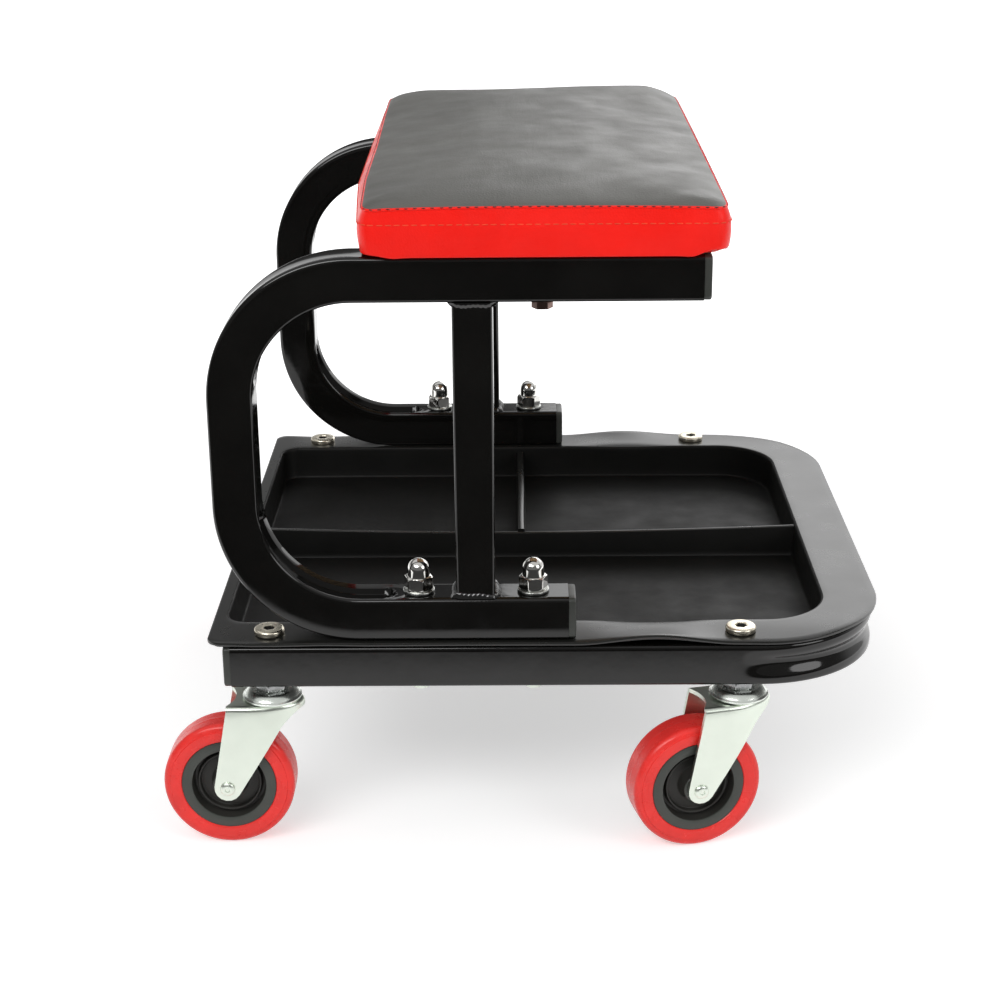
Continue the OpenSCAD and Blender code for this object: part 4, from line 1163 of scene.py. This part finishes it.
# Studio: pale floor, white surroundings, soft lamps
world = bpy.data.worlds.new("studio")
scene.world = world
world.use_nodes = True
nt = world.node_tree
nt.nodes.clear()


def seen(tree):
    """1 for rays from the camera, from shiny surfaces and through glass."""
    path = node(tree, "LightPath").outputs
    shown = node_math(tree, "MAXIMUM", path["Is Camera Ray"], path["Is Glossy Ray"])
    return node_math(tree, "MAXIMUM", shown, path["Is Transmission Ray"])


# Shiny pieces see a white sweep low behind the object, a bright wall above it to the right, and a dim
# room elsewhere
dirs = node(nt, "SeparateXYZ", Vector=node(nt, "TexCoord").outputs["Generated"])
behind = eased(nt, dirs.outputs["Y"], -0.2, 0.4, 0.0, 1.0)
wall = eased(nt, dirs.outputs["X"], -0.005, 0.10, 0.15, 1.0)
low = eased(nt, dirs.outputs["Z"], 0.22, 0.30, 1.0, wall)
around = eased(nt, behind, 0.0, 1.0, 0.22, low)
strength = eased(nt, dirs.outputs["Z"], 0.54, 0.66, around, 0.80)
white = node(nt, "Background", Color=(1, 1, 1, 1), Strength=1.0)
dim = node(nt, "Background", Color=(1, 1, 1, 1), Strength=0.5)
room = node(nt, "Background", Strength=strength)
shiny = fed(nt, "MixShader", node(nt, "LightPath").outputs["Is Glossy Ray"], white.outputs[0],
            room.outputs[0])
surface = fed(nt, "MixShader", seen(nt), dim.outputs[0], shiny.outputs[0])
node(nt, "OutputWorld", Surface=surface.outputs[0])

floor_mesh = bpy.data.meshes.new("floor")
floor_mesh.from_pydata([(-9, -9, 0), (9, -9, 0), (9, 9, 0), (-9, 9, 0)], [], [(0, 1, 2, 3)])
floor = new_object("floor", floor_mesh)
fm = new_material("floor_pale", (0.82, 0.82, 0.82), 0.9, spec=0.1)
ft = fm.node_tree
spot = coords(fm)
away = node(ft, "VectorMath", Vector=spot)
away.operation = "LENGTH"
glow = eased(ft, away.outputs["Value"], 0.35, 1.1, 0.48, 1.0)
plug(fm, (1, 1, 1, 1), "Emission Color")
plug(fm, node_math(ft, "MULTIPLY", seen(ft), glow), "Emission Strength")
# The white sweep ends a little in front of the object; beyond it shiny pieces see a dark room
edge = eased(ft, node(ft, "SeparateXYZ", Vector=spot).outputs["Y"], -0.50, -0.40, 0.98, 0.0)
shut = node_math(ft, "MULTIPLY", node(ft, "LightPath").outputs["Is Glossy Ray"], edge)
dark = node(ft, "BsdfDiffuse", Color=(0.02, 0.02, 0.02, 1))
lit = ft.nodes["Principled BSDF"].outputs[0]
surface = fed(ft, "MixShader", shut, lit, dark.outputs[0])
join(ft, surface.outputs[0], ft.nodes["Material Output"].inputs["Surface"])
floor_mesh.materials.append(fm)


def lamp(name, place, target, size, power):
    d = bpy.data.lights.new(name, "AREA")
    tuned(d, shape="ELLIPSE", size=size[0], size_y=size[1], energy=power)
    o = new_object(name, d)
    o.location = place
    o.rotation_euler = (Vector(target) - Vector(place)).to_track_quat("-Z", "Y").to_euler()


lamp("key", (-0.9, -1.7, 1.7), (0, 0, 0.2), (1.9, 0.8), 23)
lamp("fill", (1.5, -1.2, 1.0), (0, 0, 0.2), (1.0, 1.0), 8)
lamp("rear", (1.1, 2.25, 1.2), (0, 0, 0.2), (2.6, 1.2), 12)
